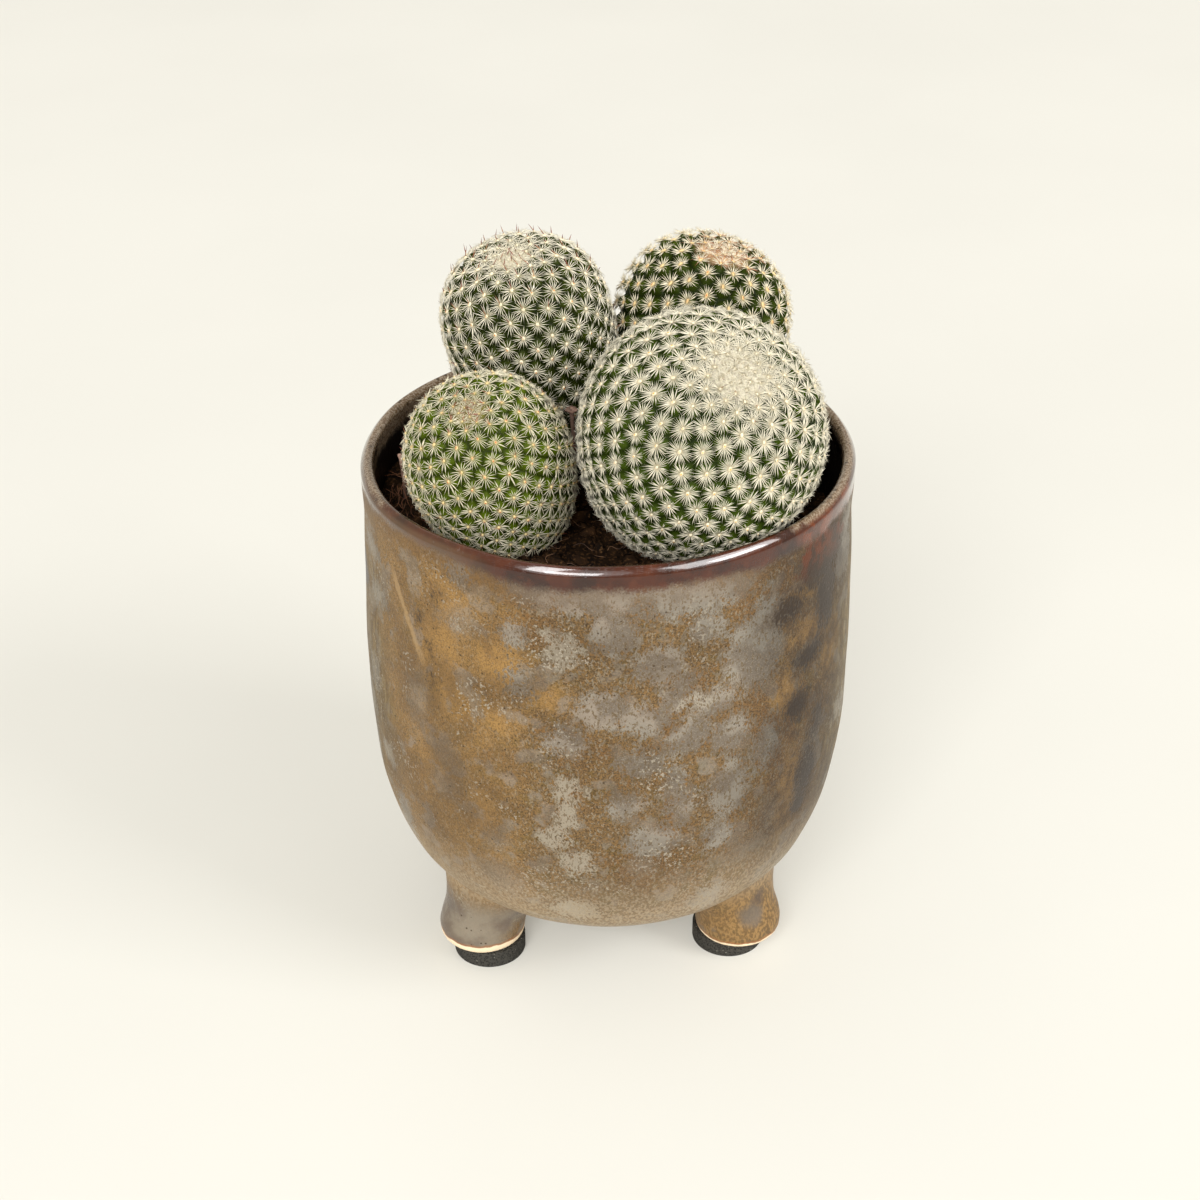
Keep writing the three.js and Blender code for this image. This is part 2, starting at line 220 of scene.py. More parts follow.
def new_material(name, roughness=0.5, specular=0.5):
    """A material with its node tree and its Principled shader, set to a plain roughness."""
    material = bpy.data.materials.new(name)
    material.use_nodes = True
    tree = material.node_tree
    shader = tree.nodes["Principled BSDF"]
    shader.inputs["Roughness"].default_value = roughness
    shader.inputs["Specular IOR Level"].default_value = specular
    return material, tree, shader


def bump(height, strength, distance):
    """A Normal from a height, for fine relief."""
    return worked("ShaderNodeBump", {"Height": height, "Strength": strength, "Distance": distance})


def placed(name, data):
    """A new object in the scene, for a mesh, a lamp or the camera."""
    made = bpy.data.objects.new(name, data)
    bpy.context.scene.collection.objects.link(made)
    return made


def finished(name, bm, material):
    """An object for a finished bmesh, at the origin, smooth shaded, with its material."""
    mesh = bpy.data.meshes.new(name)
    bm.to_mesh(mesh)
    bm.free()
    mesh.materials.append(material)
    mesh.shade_smooth()
    return placed(name, mesh)


glowing_floor_paint, tree, shader = new_material("glowing_floor_paint", 0.6, 0.2)
tone = patches_in_use(tree, 6.0, 0.3, 0.7)
feed(shader.inputs["Base Color"], lay(tone, paint(180, 179, 173), paint(183, 182, 176)))
# The floor's glow is painted light: it lifts the shadows on the floor and lights the pot from below like
# bounce light.
shader.inputs["Emission Color"].default_value = paint(255, 252, 240)
shader.inputs["Emission Strength"].default_value = floor_glow

bm = bmesh.new()
bmesh.ops.create_grid(bm, x_segments=8, y_segments=8, size=floor_reach)
floor = finished("floor", bm, glowing_floor_paint)

world = bpy.data.worlds.new("room")
world.use_nodes = True
world.node_tree.nodes["Background"].inputs["Color"].default_value = paint(252, 246, 234)
world.node_tree.nodes["Background"].inputs["Strength"].default_value = room_glow
bpy.context.scene.world = world
bpy.context.scene.view_settings.view_transform = "Standard"

for name, lamp in big_lamps.items():
    light = bpy.data.lights.new(name, "SUN")
    light.energy = lamp["strength"]
    light.angle = math.radians(lamp["spread"])
    placed(name, light).rotation_euler = Vector(lamp["towards"]).to_track_quat("Z", "Y").to_euler()

for name, lamp in small_lamps.items():
    light = bpy.data.lights.new(name, "AREA")
    light.shape = "RECTANGLE"
    light.energy = lamp["watts"]
    light.size = lamp["size"]
    light.size_y = lamp["height"]
    holder = placed(name, light)
    holder.location = lamp["place"]
    holder.rotation_euler = (lamp_aim - holder.location).to_track_quat("-Z", "Y").to_euler()
    holder.visible_diffuse = not name.startswith("gleam")

camera_data = bpy.data.cameras.new("camera")
camera_data.lens = camera_lens
camera_data.sensor_width = 36
camera = placed("camera", camera_data)
camera.location = camera_place
camera.rotation_euler = (math.radians(camera_tilt), 0, 0)
bpy.context.scene.camera = camera

# The pot is thrown stoneware, pinched a little by hand, with a rounded belly and a soft lip.
# Three stub feet are pressed on under the belly and smoothed in before it is glazed, so the
# whole pot is one piece. It is hollow, with walls about 3 mm thick.
rim_radius = 52.5
rim_height = 119.1
lip_radius = 1.4
lip_drop = 0.3
belly_radius = 53.7
belly_height = 68
wall = 3
underside_height = 13
underside_radius = 28
rim_lift = 1.1
rim_lift_azimuth = math.radians(-50)
pot_sides = 192
seam_height = 41
dent_depth = 0.6
dent_size = 13
rim_wave_depth = 0.5
melt_grain = 0.9
settle_turns = 8
settle_all_turns = 3
foot_end = 4
true_within = 1.2
lip_steps = 24
lip_flatness = 1.5
rim_waves = 2.1
foot_azimuths = {"left": 215.5, "right": -31.5, "back": 92}
foot_reach = 34.2
foot_radius = 9.2
# Each level of a foot: its height over the pad, how far it leans in, and how much wider it is
foot_levels = [
    (0, -0.8, -0.6), (0.5, -1.1, 0.1), (1.4, -1.3, 0.6), (4.5, -1.2, 0.8), (9, 0.7, 0.8),
    (13, 3.4, 2.9), (22, 9.4, 9),
]
pad_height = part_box("foam_pad_left")[1][2] / mm
outer_points = [
    (underside_radius, underside_height),
    (43.3, 24),
    (48.9, 33),
    (52.2, 46),
    (belly_radius, belly_height),
    (52.9, 98),
    (rim_radius, rim_height),
]
inner_points = [
    (rim_radius - 2 * lip_radius, rim_height),
    (49.8, 98),
    (belly_radius - wall, belly_height),
    (48, 42),
    (39.5, 27),
    (24, underside_height + wall),
]


def smooth(low, high, value):
    """A step from 0 to 1 with soft ends."""
    share = min(max((value - low) / (high - low), 0), 1)
    return share * share * (3 - 2 * share)


def smooth_line(points, steps):
    """A curve through radius and height points, with a number of steps in all."""
    line = []
    for step in range(steps + 1):
        along = (len(points) - 1) * step / steps
        at = min(int(along), len(points) - 2)
        part = along - at
        before, start, end, after = (
            Vector(points[min(max(at + shift, 0), len(points) - 1)]) for shift in (-1, 0, 1, 2)
        )
        bend = 2 * before - 5 * start + 4 * end - after
        twist = 3 * (start - end) + after - before
        line.append(start + 0.5 * part * (end - before + part * (bend + part * twist)))
    return line


def turned(bm, line, sides):
    """Turns a line of radius and height points about the pot's axis."""
    corners = [bm.verts.new((radius * mm, 0, height * mm)) for radius, height in line]
    edges = [bm.edges.new(pair) for pair in zip(corners, corners[1:])]
    bmesh.ops.spin(
        bm, geom=corners + edges, cent=(0, 0, 0), axis=(0, 0, 1), angle=2 * math.pi, steps=sides,
        use_merge=True,
    )
    bmesh.ops.remove_doubles(bm, verts=bm.verts, dist=0.01 * mm)


def next_ring(bm, ring, first):
    """Extrudes the face that closes a ring and gives the new ring. The old face stays only if
    it is the first one, which closes the other end."""
    face = next(face for face in ring[0].link_faces if set(face.verts) == set(ring))
    made = bmesh.ops.extrude_face_region(bm, geom=[face])["geom"]
    further = [item for item in made if isinstance(item, bmesh.types.BMVert)]
    if not first:
        bmesh.ops.delete(bm, geom=[face], context="FACES_ONLY")
    return further


def add_foot(bm, azimuth):
    """One stub foot, as rings that widen and lean in towards the belly."""
    turn = Matrix.Rotation(math.radians(azimuth), 4, "Z")
    ring = bmesh.ops.create_circle(bm, cap_ends=True, radius=mm, segments=40)["verts"]
    for level, (height, inset, extra) in enumerate(foot_levels):
        if level:
            ring = next_ring(bm, ring, level == 1)
        radius = (foot_radius + extra) * mm
        centre = sum((corner.co for corner in ring), Vector()) / len(ring)
        for corner in ring:
            corner.co = centre + (corner.co - centre).normalized() * radius
        seat = turn @ Vector(((foot_reach - inset) * mm, 0, (pad_height + height) * mm))
        bmesh.ops.translate(bm, verts=ring, vec=seat - centre)


def radius_at(line, height):
    """The radius of a line of radius and height points at one height."""
    for low, high in zip(line, line[1:]):
        if low[1] <= height <= high[1]:
            part = (height - low[1]) / (high[1] - low[1])
            return low[0] + part * (high[0] - low[0])
    return line[-1][0] if height > line[-1][1] else line[0][0]


outer_line = smooth_line(outer_points, 120)

# The belly's underside and the feet, melted together
bm = bmesh.new()
below_seam = [(radius, height) for radius, height in outer_line if height < seam_height + 5]
turned(bm, [(0, underside_height), *below_seam, (0, below_seam[-1][1])], 96)
for azimuth in foot_azimuths.values():
    add_foot(bm, azimuth)
bmesh.ops.recalc_face_normals(bm, faces=bm.faces)
rough = finished("rough_underside", bm, glowing_floor_paint)
melt = rough.modifiers.new("melt", "REMESH")
melt.mode = "VOXEL"
melt.voxel_size = melt_grain * mm
melted = bpy.data.meshes.new_from_object(rough.evaluated_get(bpy.context.evaluated_depsgraph_get()))
bpy.data.objects.remove(rough)

bm = bmesh.new()
bm.from_mesh(melted)
for turn in range(settle_turns):
    lowest = (pad_height + foot_end) * mm
    settled = [corner for corner in bm.verts if turn < settle_all_turns or corner.co.z > lowest]
    bmesh.ops.smooth_vert(bm, verts=settled, factor=0.5, use_axis_x=True, use_axis_y=True, use_axis_z=True)
for corner in bm.verts:
    reach = math.hypot(corner.co.x, corner.co.y)
    true = radius_at(outer_line, corner.co.z / mm) * mm
    if corner.co.z > (underside_height + 6) * mm and abs(reach - true) < true_within * mm:
        pull = smooth(20, 34, corner.co.z / mm)
        corner.co.x *= 1 + pull * (true / reach - 1)
        corner.co.y *= 1 + pull * (true / reach - 1)
    corner.co.z = max(corner.co.z, pad_height * mm)
bmesh.ops.bisect_plane(
    bm, geom=[*bm.verts, *bm.edges, *bm.faces], dist=0.001 * mm,
    plane_co=(0, 0, (seam_height - 1) * mm), plane_no=(0, 0, 1), clear_outer=True,
)
lower_edge = [edge for edge in bm.edges if edge.is_boundary]

# The wall above, the lip, the inside and its floor, turned in one go
lip_line = []
for step in range(1, lip_steps):
    turn = math.pi * step / lip_steps
    outside = turn < math.pi / 2
    flatness = lip_flatness if outside else 1
    lowest = rim_height - lip_drop if outside else rim_height
    across = math.copysign(abs(math.cos(turn)) ** flatness, math.cos(turn))
    up = (rim_height + lip_radius - lowest) * math.sin(turn) ** flatness
    lip_line.append((rim_radius - lip_radius + lip_radius * across, lowest + up))
above_seam = [point for point in outer_line if seam_height < point[1] < rim_height - lip_drop]
inner_line = [*smooth_line(inner_points, 40), (0, underside_height + wall)]
upper = bmesh.new()
turned(upper, [*above_seam, *lip_line, *inner_line], pot_sides)
upper_mesh = bpy.data.meshes.new("upper")
upper.to_mesh(upper_mesh)
upper.free()
bm.from_mesh(upper_mesh)
upper_edge = [edge for edge in bm.edges if edge.is_boundary and edge not in set(lower_edge)]
bmesh.ops.bridge_loops(bm, edges=lower_edge + upper_edge)
bmesh.ops.recalc_face_normals(bm, faces=bm.faces)

# The rim's lift at the right, the dents of the wall and the rim's wave
for corner in bm.verts:
    height = corner.co.z / mm
    azimuth = math.atan2(corner.co.y, corner.co.x) - rim_lift_azimuth
    reach = math.hypot(corner.co.x, corner.co.y) / mm
    outwards = smooth(belly_radius * 0.5, belly_radius * 0.9, reach)
    lift = rim_lift * mm * smooth(belly_height, rim_height, height)
    corner.co.z += lift * outwards * math.cos(azimuth)
    height = corner.co.z / mm
    dent = noise.noise(corner.co / (dent_size * mm)) * 0.5 + 0.5
    away = smooth(underside_height, 30, height) * (1 - smooth(108, 119, height))
    shrink = dent_depth * dent * away / max(reach, 1)
    if reach > 40:
        rim_wave = noise.noise(Vector((math.cos(azimuth), math.sin(azimuth), 0)) * rim_waves)
        shrink -= rim_wave_depth / reach * rim_wave * smooth(90, rim_height, height)
    corner.co.x *= 1 - shrink
    corner.co.y *= 1 - shrink

# The glaze is a reaction glaze, fired to a satin bronze. It breaks to granular ochre brown where
# it ran thin and pools in smooth silver-grey blots. It is golden at the left, plum at the right,
# red-brown and glossy on the lip and nearly black inside. The feet are wiped bare below.
silver = paint(146, 140, 130)
silver_pink = paint(154, 142, 129)
silver_dark = paint(107, 98, 88)
silver_blue = paint(112, 110, 104)
pale_silver = paint(168, 159, 143)
ash = paint(150, 140, 121)
dark_brown = paint(64, 49, 33)
tan_brown = paint(102, 84, 60)
ochre = paint(131, 103, 66)
rust = paint(120, 82, 48)
gold = paint(163, 127, 76)
gold_brown = paint(144, 112, 69)
straw = paint(150, 130, 90)
plum = paint(42, 32, 25)
olive = paint(98, 83, 46)
lip_red = paint(66, 27, 9)
lip_dark = paint(42, 19, 9)
lip_rust = paint(92, 46, 22)
glow_rust = paint(104, 46, 12)
lip_haze = paint(128, 112, 96)
lip_brown = paint(106, 80, 54)
lip_grey = paint(150, 134, 114)
lip_tan = paint(104, 82, 60)
inside_black = paint(16, 11, 9)
clay = paint(244, 222, 190)
clay_edge = paint(160, 104, 62)
lilac_grey = paint(108, 97, 88)
foot_silver = paint(138, 129, 114)
smudge_grey = paint(84, 73, 66)
crease_tan = paint(178, 148, 106)
belly_reflection_tan = paint(194, 174, 144)

# Where the larger blots lie: azimuth in degrees, height, half width and half height, each on
# the side that shows; the rest of the pot is strewn with more of them
blots = {
    "silver": [
        (-124, 115, 3.5, 2.8), (-106, 116, 6.1, 3.9), (-111, 105, 2.8, 3.3), (-110, 93, 3.0, 3.8),
        (-89, 107, 5.1, 6.0), (-91, 89, 6.0, 4.8), (-100, 81, 4.5, 3.4), (-92, 114, 11.8, 3.6),
        (-73, 113, 12.7, 4.1), (-68, 106, 3.9, 3.7), (-79, 99, 5.7, 4.7), (-73, 94, 3.4, 2.8),
        (-56, 97, 7.3, 9.6), (-67, 88, 6.7, 3.4), (-76, 90, 3.3, 2.9), (-83, 86, 6.1, 3.9),
        (-72, 81, 5.6, 4.4), (-62, 79, 4.8, 5.0), (-83, 76, 5.3, 3.5), (-75, 70, 2.8, 4.6),
        (-62, 65, 4.9, 8.1), (-86, 65, 4.1, 3.7), (-74, 64, 3.1, 5.4), (-52, 73, 3.7, 6.3),
        (-80, 55, 5.8, 4.5), (-64, 53, 4.2, 4.1), (-53, 103, 4.3, 7.2), (-64, 33, 5.4, 4.6),
    ],
    "misty": [
        (-125, 104, 3.8, 3.8), (-129, 70, 4.3, 4.2), (-130, 61, 4.3, 4.0), (-117, 40, 6.5, 5.6),
        (-117, 52, 3.5, 3.6), (-56, 46, 8.4, 4.2), (-50, 54, 3.2, 4.9), (-82, 48, 3.0, 3.6),
        (-73, 43, 2.7, 2.6), (-139, 80, 4.0, 9.0),
    ],
    "pale": [
        (-100, 102, 4.0, 4.7), (-99, 69, 3.7, 3.1), (-99, 62, 2.9, 4.9), (-102, 56, 4.1, 3.7),
        (-97, 49, 4.9, 3.9), (-98, 33, 6.0, 4.4), (-103, 105, 2.4, 2.3), (-70, 89, 4.4, 1.9),
    ],
    "plum": [
        (-33, 111, 10.0, 7.0), (-31, 101, 4.8, 8.6), (-46, 103, 4.8, 3.6), (-38, 89, 5.9, 3.0),
        (-42, 78, 4.2, 3.8), (-37, 58, 4.3, 8.6), (-38, 50, 3.8, 3.4), (-131, 107, 1.3, 1.4),
        (-137, 100, 1.2, 1.1), (-134, 95, 1.1, 1.0), (-133, 87, 1.0, 1.4), (-34, 70, 2.6, 5.0),
    ],
    "gold": [
        (-128, 109, 7.0, 5.7), (-131, 95, 6.5, 9.7), (-114, 96, 6.7, 5.7), (-126, 85, 7.0, 6.4),
        (-104, 91, 3.7, 2.1), (-136, 69, 3.1, 8.2), (-114, 84, 4.5, 3.9), (-120, 59, 3.6, 7.4),
        (-40, 107, 3.4, 2.8), (-38, 95, 5.1, 2.4), (-26, 86, 4.5, 5.2), (-43, 56, 3.0, 8.3),
        (-47, 84, 3.0, 3.0),
    ],
}
unseen_blots = {"silver": 62, "misty": 16, "pale": 14, "plum": 14, "gold": 9}
seen_from, seen_to = -146, -24
far_outside = -6
blot_reach = 18

draw = random.Random("blots")
for kind, count in unseen_blots.items():
    for _ in range(count):
        azimuth = draw.uniform(seen_to, seen_from + 360)
        sizes = draw.uniform(24, 114), draw.uniform(2.8, 6.5), draw.uniform(2.8, 6.5)
        blots[kind].append((azimuth, *sizes))

# How deep inside the nearest blot of each kind each point lies, in millimetres
for kind, places in blots.items():
    depth = bm.verts.layers.float.new(kind)
    centres = kdtree.KDTree(len(places))
    for index, (azimuth, height, _, _) in enumerate(places):
        reach = radius_at(outer_line, height)
        turn = math.radians(azimuth)
        centres.insert((reach * math.cos(turn), reach * math.sin(turn), height), index)
    centres.balance()
    for corner in bm.verts:
        here = corner.co / mm
        azimuth = math.degrees(math.atan2(here.y, here.x))
        best = far_outside
        for _, index, _ in centres.find_range(here, blot_reach):
            turn, height, half_width, half_height = places[index]
            aside = math.radians((azimuth - turn + 180) % 360 - 180) * belly_radius
            far = math.hypot(aside / half_width, (here.z - height) / half_height)
            best = max(best, (1 - far) * min(half_width, half_height))
        corner[depth] = best

glaze, tree, shader = new_material("reaction_glaze", specular=0.16)
place = of_vectors("MULTIPLY", place_in(tree), (1 / mm, 1 / mm, 1 / mm))
right, back, up = add_node(tree, "ShaderNodeSeparateXYZ", {0: place}).outputs
reach = of_vectors("LENGTH", of_vectors("MULTIPLY", place, (1.0, 1.0, 0.0)), output="Value")
fine = drift_in_use(tree, 2300.0, 4.0)
gritty = drift_in_use(tree, 3300.0, 2.0)
drawn = drift_in_use(tree, 1700.0, 3.0, (1.0, 1.0, 0.6))
coarse = drift_in_use(tree, 330.0, 4.0)
cloud = drift_in_use(tree, 150.0, 5.0)
broad = drift_in_use(tree, 60.0, 3.0)


def ragged_blot(kind, grain, low, high):
    """A mask for one kind of blot, its edge broken up by the grain."""
    return ramp(wavered(wavered(marked(tree, kind), drawn, grain), coarse, 7.0), low, high)


# Ground of tan, ochre, olive, rusty, ashen and dark grains, golden at the left
ground = lay(ramp(fine, 0.42, 0.58), tan_brown, ochre)
ground = lay(ramp(coarse, 0.5, 0.64, 0.0, 0.5), ground, olive)
ground = lay(ramp(broad, 0.5, 0.64, 0.0, 0.2), ground, rust)
ground = lay(times(ramp(fine, 0.5, 0.62), ramp(cloud, 0.42, 0.6, 0.0, 0.5)), ground, rust)
ground = lay(ramp(drawn, 0.55, 0.61, 0.0, 0.6), ground, ash)
is_gold = larger(ragged_blot("gold", 3.0, -4.0, 3.0), ramp(right, -10, -26, 0.0, 0.6))
gold_tone = lay(ramp(cloud, 0.42, 0.6), gold, gold_brown)
ground = lay(times(is_gold, ramp(fine, 0.34, 0.52, 0.55, 0.95)), ground, gold_tone)
dark_grains = times(ramp(gritty, 0.5, 0.38, 0.0, 0.7), ramp(is_gold, 0.0, 1.0, 1.0, 0.6))
ground = lay(dark_grains, ground, dark_brown)

# Blots where the glaze pooled: silver ones, misty ones that are half dissolved, and pale ones
is_silver = ragged_blot("silver", 12.0, -1.0, 1.0)
is_misty = times(ragged_blot("misty", 8.0, -2.5, 4.5), 0.6)
is_small = times(patches_in_use(tree, 190.0, 0.54, 0.62, 6.0), 0.55)
is_grey = larger(larger(is_silver, is_misty), is_small)
grey = lay(patches_in_use(tree, 75.0, 0.4, 0.62), silver, silver_pink)
grey = lay(ramp(right, 24, 36, 0.0, 0.8), grey, silver_blue)
grey = lay(ramp(cloud, 0.42, 0.58, 0.0, 0.8), grey, silver_dark)
brown_flecks = ramp(drawn, 0.54, 0.6, 0.0, 0.8)
grey = lay(brown_flecks, grey, tan_brown)
grey = lay(ramp(gritty, 0.55, 0.64, 0.0, 0.4), grey, pale_silver)
colour = lay(times(is_grey, 0.88), ground, grey)
is_pale = ragged_blot("pale", 11.0, -0.6, 1.2)
colour = lay(times(is_pale, 0.75), colour, lay(brown_flecks, pale_silver, tan_brown))

# Painted shade and sheen down the left and right sides, where the wall turns away: an olive wash of
# painted shade, and fine pale and dark streaks of painted sheen
shaded_side = ramp(wavered(sum_of("ABSOLUTE", right), broad, 14), 43, 52)
shaded_side = times(shaded_side, ramp(up, 110, 98, 0.3, 1.0))
colour = lay(times(shaded_side, 0.55), colour, olive)
sheen_streaks = drift_in_use(tree, 800.0, 5.0, (1.0, 1.0, 0.3))
colour = lay(times(shaded_side, ramp(sheen_streaks, 0.5, 0.62, 0.0, 0.42)), colour, straw)
colour = lay(times(shaded_side, ramp(sheen_streaks, 0.46, 0.36, 0.0, 0.4)), colour, dark_brown)

# Plum as a dark haze over a band towards the right, and in blots where the glaze pooled, rusty near the
# lip
plum_haze = times(ramp(right, 25, 38), ramp(right, 53, 48))
plum_haze = times(plum_haze, ramp(coarse, 0.34, 0.6, 0.7, 0.42))
colour = lay(plum_haze, colour, plum)
is_plum = ragged_blot("plum", 6.5, -1.3, 1.9)
colour = lay(times(is_plum, 0.93), colour, plum)
rusty_plum = times(is_plum, ramp(up, 106, 114))
colour = lay(times(rusty_plum, ramp(coarse, 0.42, 0.56, 0.15, 0.7)), colour, glow_rust)
colour = lay(times(patches_in_use(tree, 42.0, 0.44, 0.66, 4.0), 0.3), colour, dark_brown)
smooth_glaze = larger(larger(is_grey, is_pale), is_plum)

# Pits, and silver flecks in clusters
pits = times(specks_in_use(tree, 900.0, 0.26, 0.12), 0.8)
colour = lay(pits, colour, dark_brown)
flecks = times(patches_in_use(tree, 1500.0, 0.58, 0.64, 2.0), patches_in_use(tree, 85.0, 0.5, 0.62))
flecks = times(times(flecks, 0.75), ramp(right, 26, 14, 0.15, 1.0))
colour = lay(flecks, colour, pale_silver)

# A pale crease in the glaze, down the left of the front
crease_from, crease_to = Vector((-44.5, -28.6, 107.5)), Vector((-38.3, -37.2, 89.0))
crease_length = (crease_to - crease_from).length
crease_way = (crease_to - crease_from).normalized()
from_top = of_vectors("SUBTRACT", place, crease_from)
beside = of_vectors("LENGTH", of_vectors("CROSS_PRODUCT", from_top, crease_way), output="Value")
way_down = of_vectors("DOT_PRODUCT", from_top, crease_way, "Value")
crease = ramp(wavered(beside, coarse, 2.4), 1.3, 0.4)
crease = times(crease, ramp(way_down, -1, 3))
crease = times(crease, ramp(way_down, crease_length + 2, crease_length - 5))
colour = lay(times(crease, 0.6), colour, crease_tan)

# Painted reflection of the pale floor where the belly turns under, laid on as pale tan grains
floor_reflection_under_belly = times(ramp(up, 50, 25, 0.0, 0.6), ramp(up, 14, 25, 0.15, 1.0))
colour = lay(times(floor_reflection_under_belly, ramp(drawn, 0.44, 0.54, 0.5, 1.0)), colour, belly_reflection_tan)

# The feet: lilac grey where the glaze lies thick on their outer sides. The right one stays
# golden, with a dark smudge and a grey one beside it.
outer_side = larger(ramp(wavered(reach, broad, 24), 36, 42), ramp(right, -24, -29))
right_foot = times(ramp(right, 8, 14), ramp(back, 10, 4))
on_foot = times(times(ramp(up, 21, 14), outer_side), minus(1.0, right_foot))
foot_grey = lay(ramp(cloud, 0.4, 0.62), lilac_grey, foot_silver)
colour = lay(times(on_foot, 0.85), colour, foot_grey)
golden_foot = times(right_foot, ramp(up, 27, 16, 0.0, 0.65))
colour = lay(times(golden_foot, ramp(drawn, 0.42, 0.58, 0.3, 1.0)), colour, gold)
smudges = [((33.2, -27.6, 13.6), 4.6, silver_dark), ((35.2, -26.3, 17.2), 3.4, smudge_grey)]
for centre, width, shade in smudges:
    away = wavered(of_vectors("DISTANCE", place, centre, "Value"), coarse, 3)
    colour = lay(ramp(away, width, width * 0.4, 0.0, 0.85), colour, shade)
colour = lay(times(on_foot, pits), colour, dark_brown)

# The band of the lip, which hangs lower at the left, and the haze below it
azimuth = sum_of("ARCTAN2", back, right)
lifted = sum_of("COSINE", minus(azimuth, rim_lift_azimuth))
over_rim = minus(minus(up, times(lifted, rim_lift)), rim_height)
band_edge = wavered(wavered(wavered(over_rim, broad, 4), coarse, 2.4), fine, 2)
band_edge = minus(band_edge, ramp(right, -14, -40, 0.0, 2.0))
haze = lay(ramp(right, -8, -25), lip_haze, lip_brown)
colour = lay(times(ramp(band_edge, -10, -3.5, 0.0, 0.5), ramp(right, 34, 22)), colour, haze)

# The lip: red to nearly black, tan at the left, glowing at the right, mottled at the back
on_lip = ramp(band_edge, -4.4, -2.0)
lip_top = ramp(over_rim, 0.1, 1.2)
lip_colour = lay(ramp(cloud, 0.4, 0.62), lip_red, lip_dark)
lip_colour = lay(ramp(coarse, 0.5, 0.66, 0.0, 0.3), lip_colour, lip_rust)
hazy = times(ramp(right, -20, -34, 0.0, 0.55), ramp(lip_top, 1.0, 0.0, 0.3, 1.0))
lip_colour = lay(hazy, lip_colour, lip_tan)
glowing = times(ramp(right, 36, 41), ramp(back, -10, -18))
glowing = times(glowing, ramp(coarse, 0.4, 0.58, 0.2, 0.9))
lip_colour = lay(glowing, lip_colour, glow_rust)
at_back = ramp(wavered(plus(back, times(right, 0.163)), coarse, 20), -33, -27)
mottled = lay(ramp(fine, 0.42, 0.6), lip_tan, lip_grey)
mottled = lay(times(specks_in_use(tree, 650.0, 0.34, 0.3), 0.85), mottled, dark_brown)
lip_colour = lay(times(at_back, lip_top), lip_colour, mottled)
colour = lay(on_lip, colour, lip_colour)

# The inside, with the lip's pale mottled glaze carried over its edge at the back and left as a painted
# highlight on the top of the inner wall, and the bare clay under the feet
inside = times(ramp(reach, rim_radius - 1.8, rim_radius - 2.4), ramp(up, 60, 61))
spill_with_painted_highlight = ramp(plus(band_edge, ramp(right, -20, -46, 0.0, 4.5)), -1.6, 0.2)
colour = lay(inside, colour, lay(times(spill_with_painted_highlight, at_back), inside_black, mottled))
over_pad = plus(wavered(up, coarse, 1.5), times(right_foot, 0.9))
colour = lay(ramp(over_pad, pad_height + 3.5, pad_height + 2.8, 0.0, 0.7), colour, clay_edge)
bare = ramp(over_pad, pad_height + 2.8, pad_height + 2.4)
feed(shader.inputs["Base Color"], lay(bare, colour, clay))

roughness = times(ramp(smooth_glaze, 0.0, 1.0, 0.46, 0.33), ramp(on_lip, 0.0, 1.0, 1.0, 0.35))
feed(shader.inputs["Roughness"], plus(roughness, times(bare, 0.4)))
dulled = larger(larger(is_plum, plum_haze), shaded_side)
lustre = times(ramp(smooth_glaze, 0.0, 1.0, 0.35, 0.5), ramp(dulled, 0.0, 1.0, 1.0, 0.2))
glazed = minus(1.0, bare)
feed(shader.inputs["Metallic"], times(times(lustre, minus(1.0, on_lip)), glazed))
feed(shader.inputs["Coat Weight"], times(larger(on_lip, times(on_foot, 0.5)), glazed))
shader.inputs["Coat Roughness"].default_value = 0.06
shader.inputs["Coat IOR"].default_value = 1.42
relief = times(fine, minus(1.0, larger(smooth_glaze, on_lip)))
relief = plus(relief, times(minus(flecks, pits), 0.6))
relief = minus(relief, times(brown_flecks, 0.3))
relief = plus(relief, times(times(coarse, on_lip), 1.5))
feed(shader.inputs["Normal"], bump(relief, 0.6, 0.14 * mm))

pot = finished("glazed_pot", bm, glaze)
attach(pot, "root")
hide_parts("pot")

# Under each foot is stuck a disc of black closed-cell foam, cut with a punch, so that its rim
# is straight and its edges are barely rounded.
pad_radius = 8.2
pad_bevel = 0.25

foam, tree, shader = new_material("black_foam", 0.95, 0.2)
cells = specks_in_use(tree, 2200.0, 0.5, 1.0, output="Distance")
dust = specks_in_use(tree, 1500.0, 0.3, 0.12)
foam_colour = lay(ramp(cells, 0.2, 0.6), paint(34, 33, 30), paint(64, 62, 57))
feed(shader.inputs["Base Color"], lay(dust, foam_colour, paint(122, 120, 110)))
feed(shader.inputs["Normal"], bump(cells, 0.8, 0.25 * mm))

for foot in foot_azimuths:
    low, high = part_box(f"foam_pad_{foot}")
    bm = bmesh.new()
    bmesh.ops.create_cone(
        bm, cap_ends=True, segments=72, radius1=pad_radius * mm, radius2=pad_radius * mm,
        depth=high[2] - low[2],
    )
    rims = [edge for edge in bm.edges if len(edge.link_faces) == 2 and abs(edge.calc_face_angle()) > 1]
    bmesh.ops.bevel(
        bm, geom=rims, offset=pad_bevel * mm, affect="EDGES", segments=3, profile=0.5, material=-1
    )
    bmesh.ops.translate(bm, verts=bm.verts, vec=(Vector(low) + Vector(high)) / 2)
    pad = finished(f"foam_disc_{foot}", bm, foam)
    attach(pad, "root")
    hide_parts(f"foam_pad_{foot}")

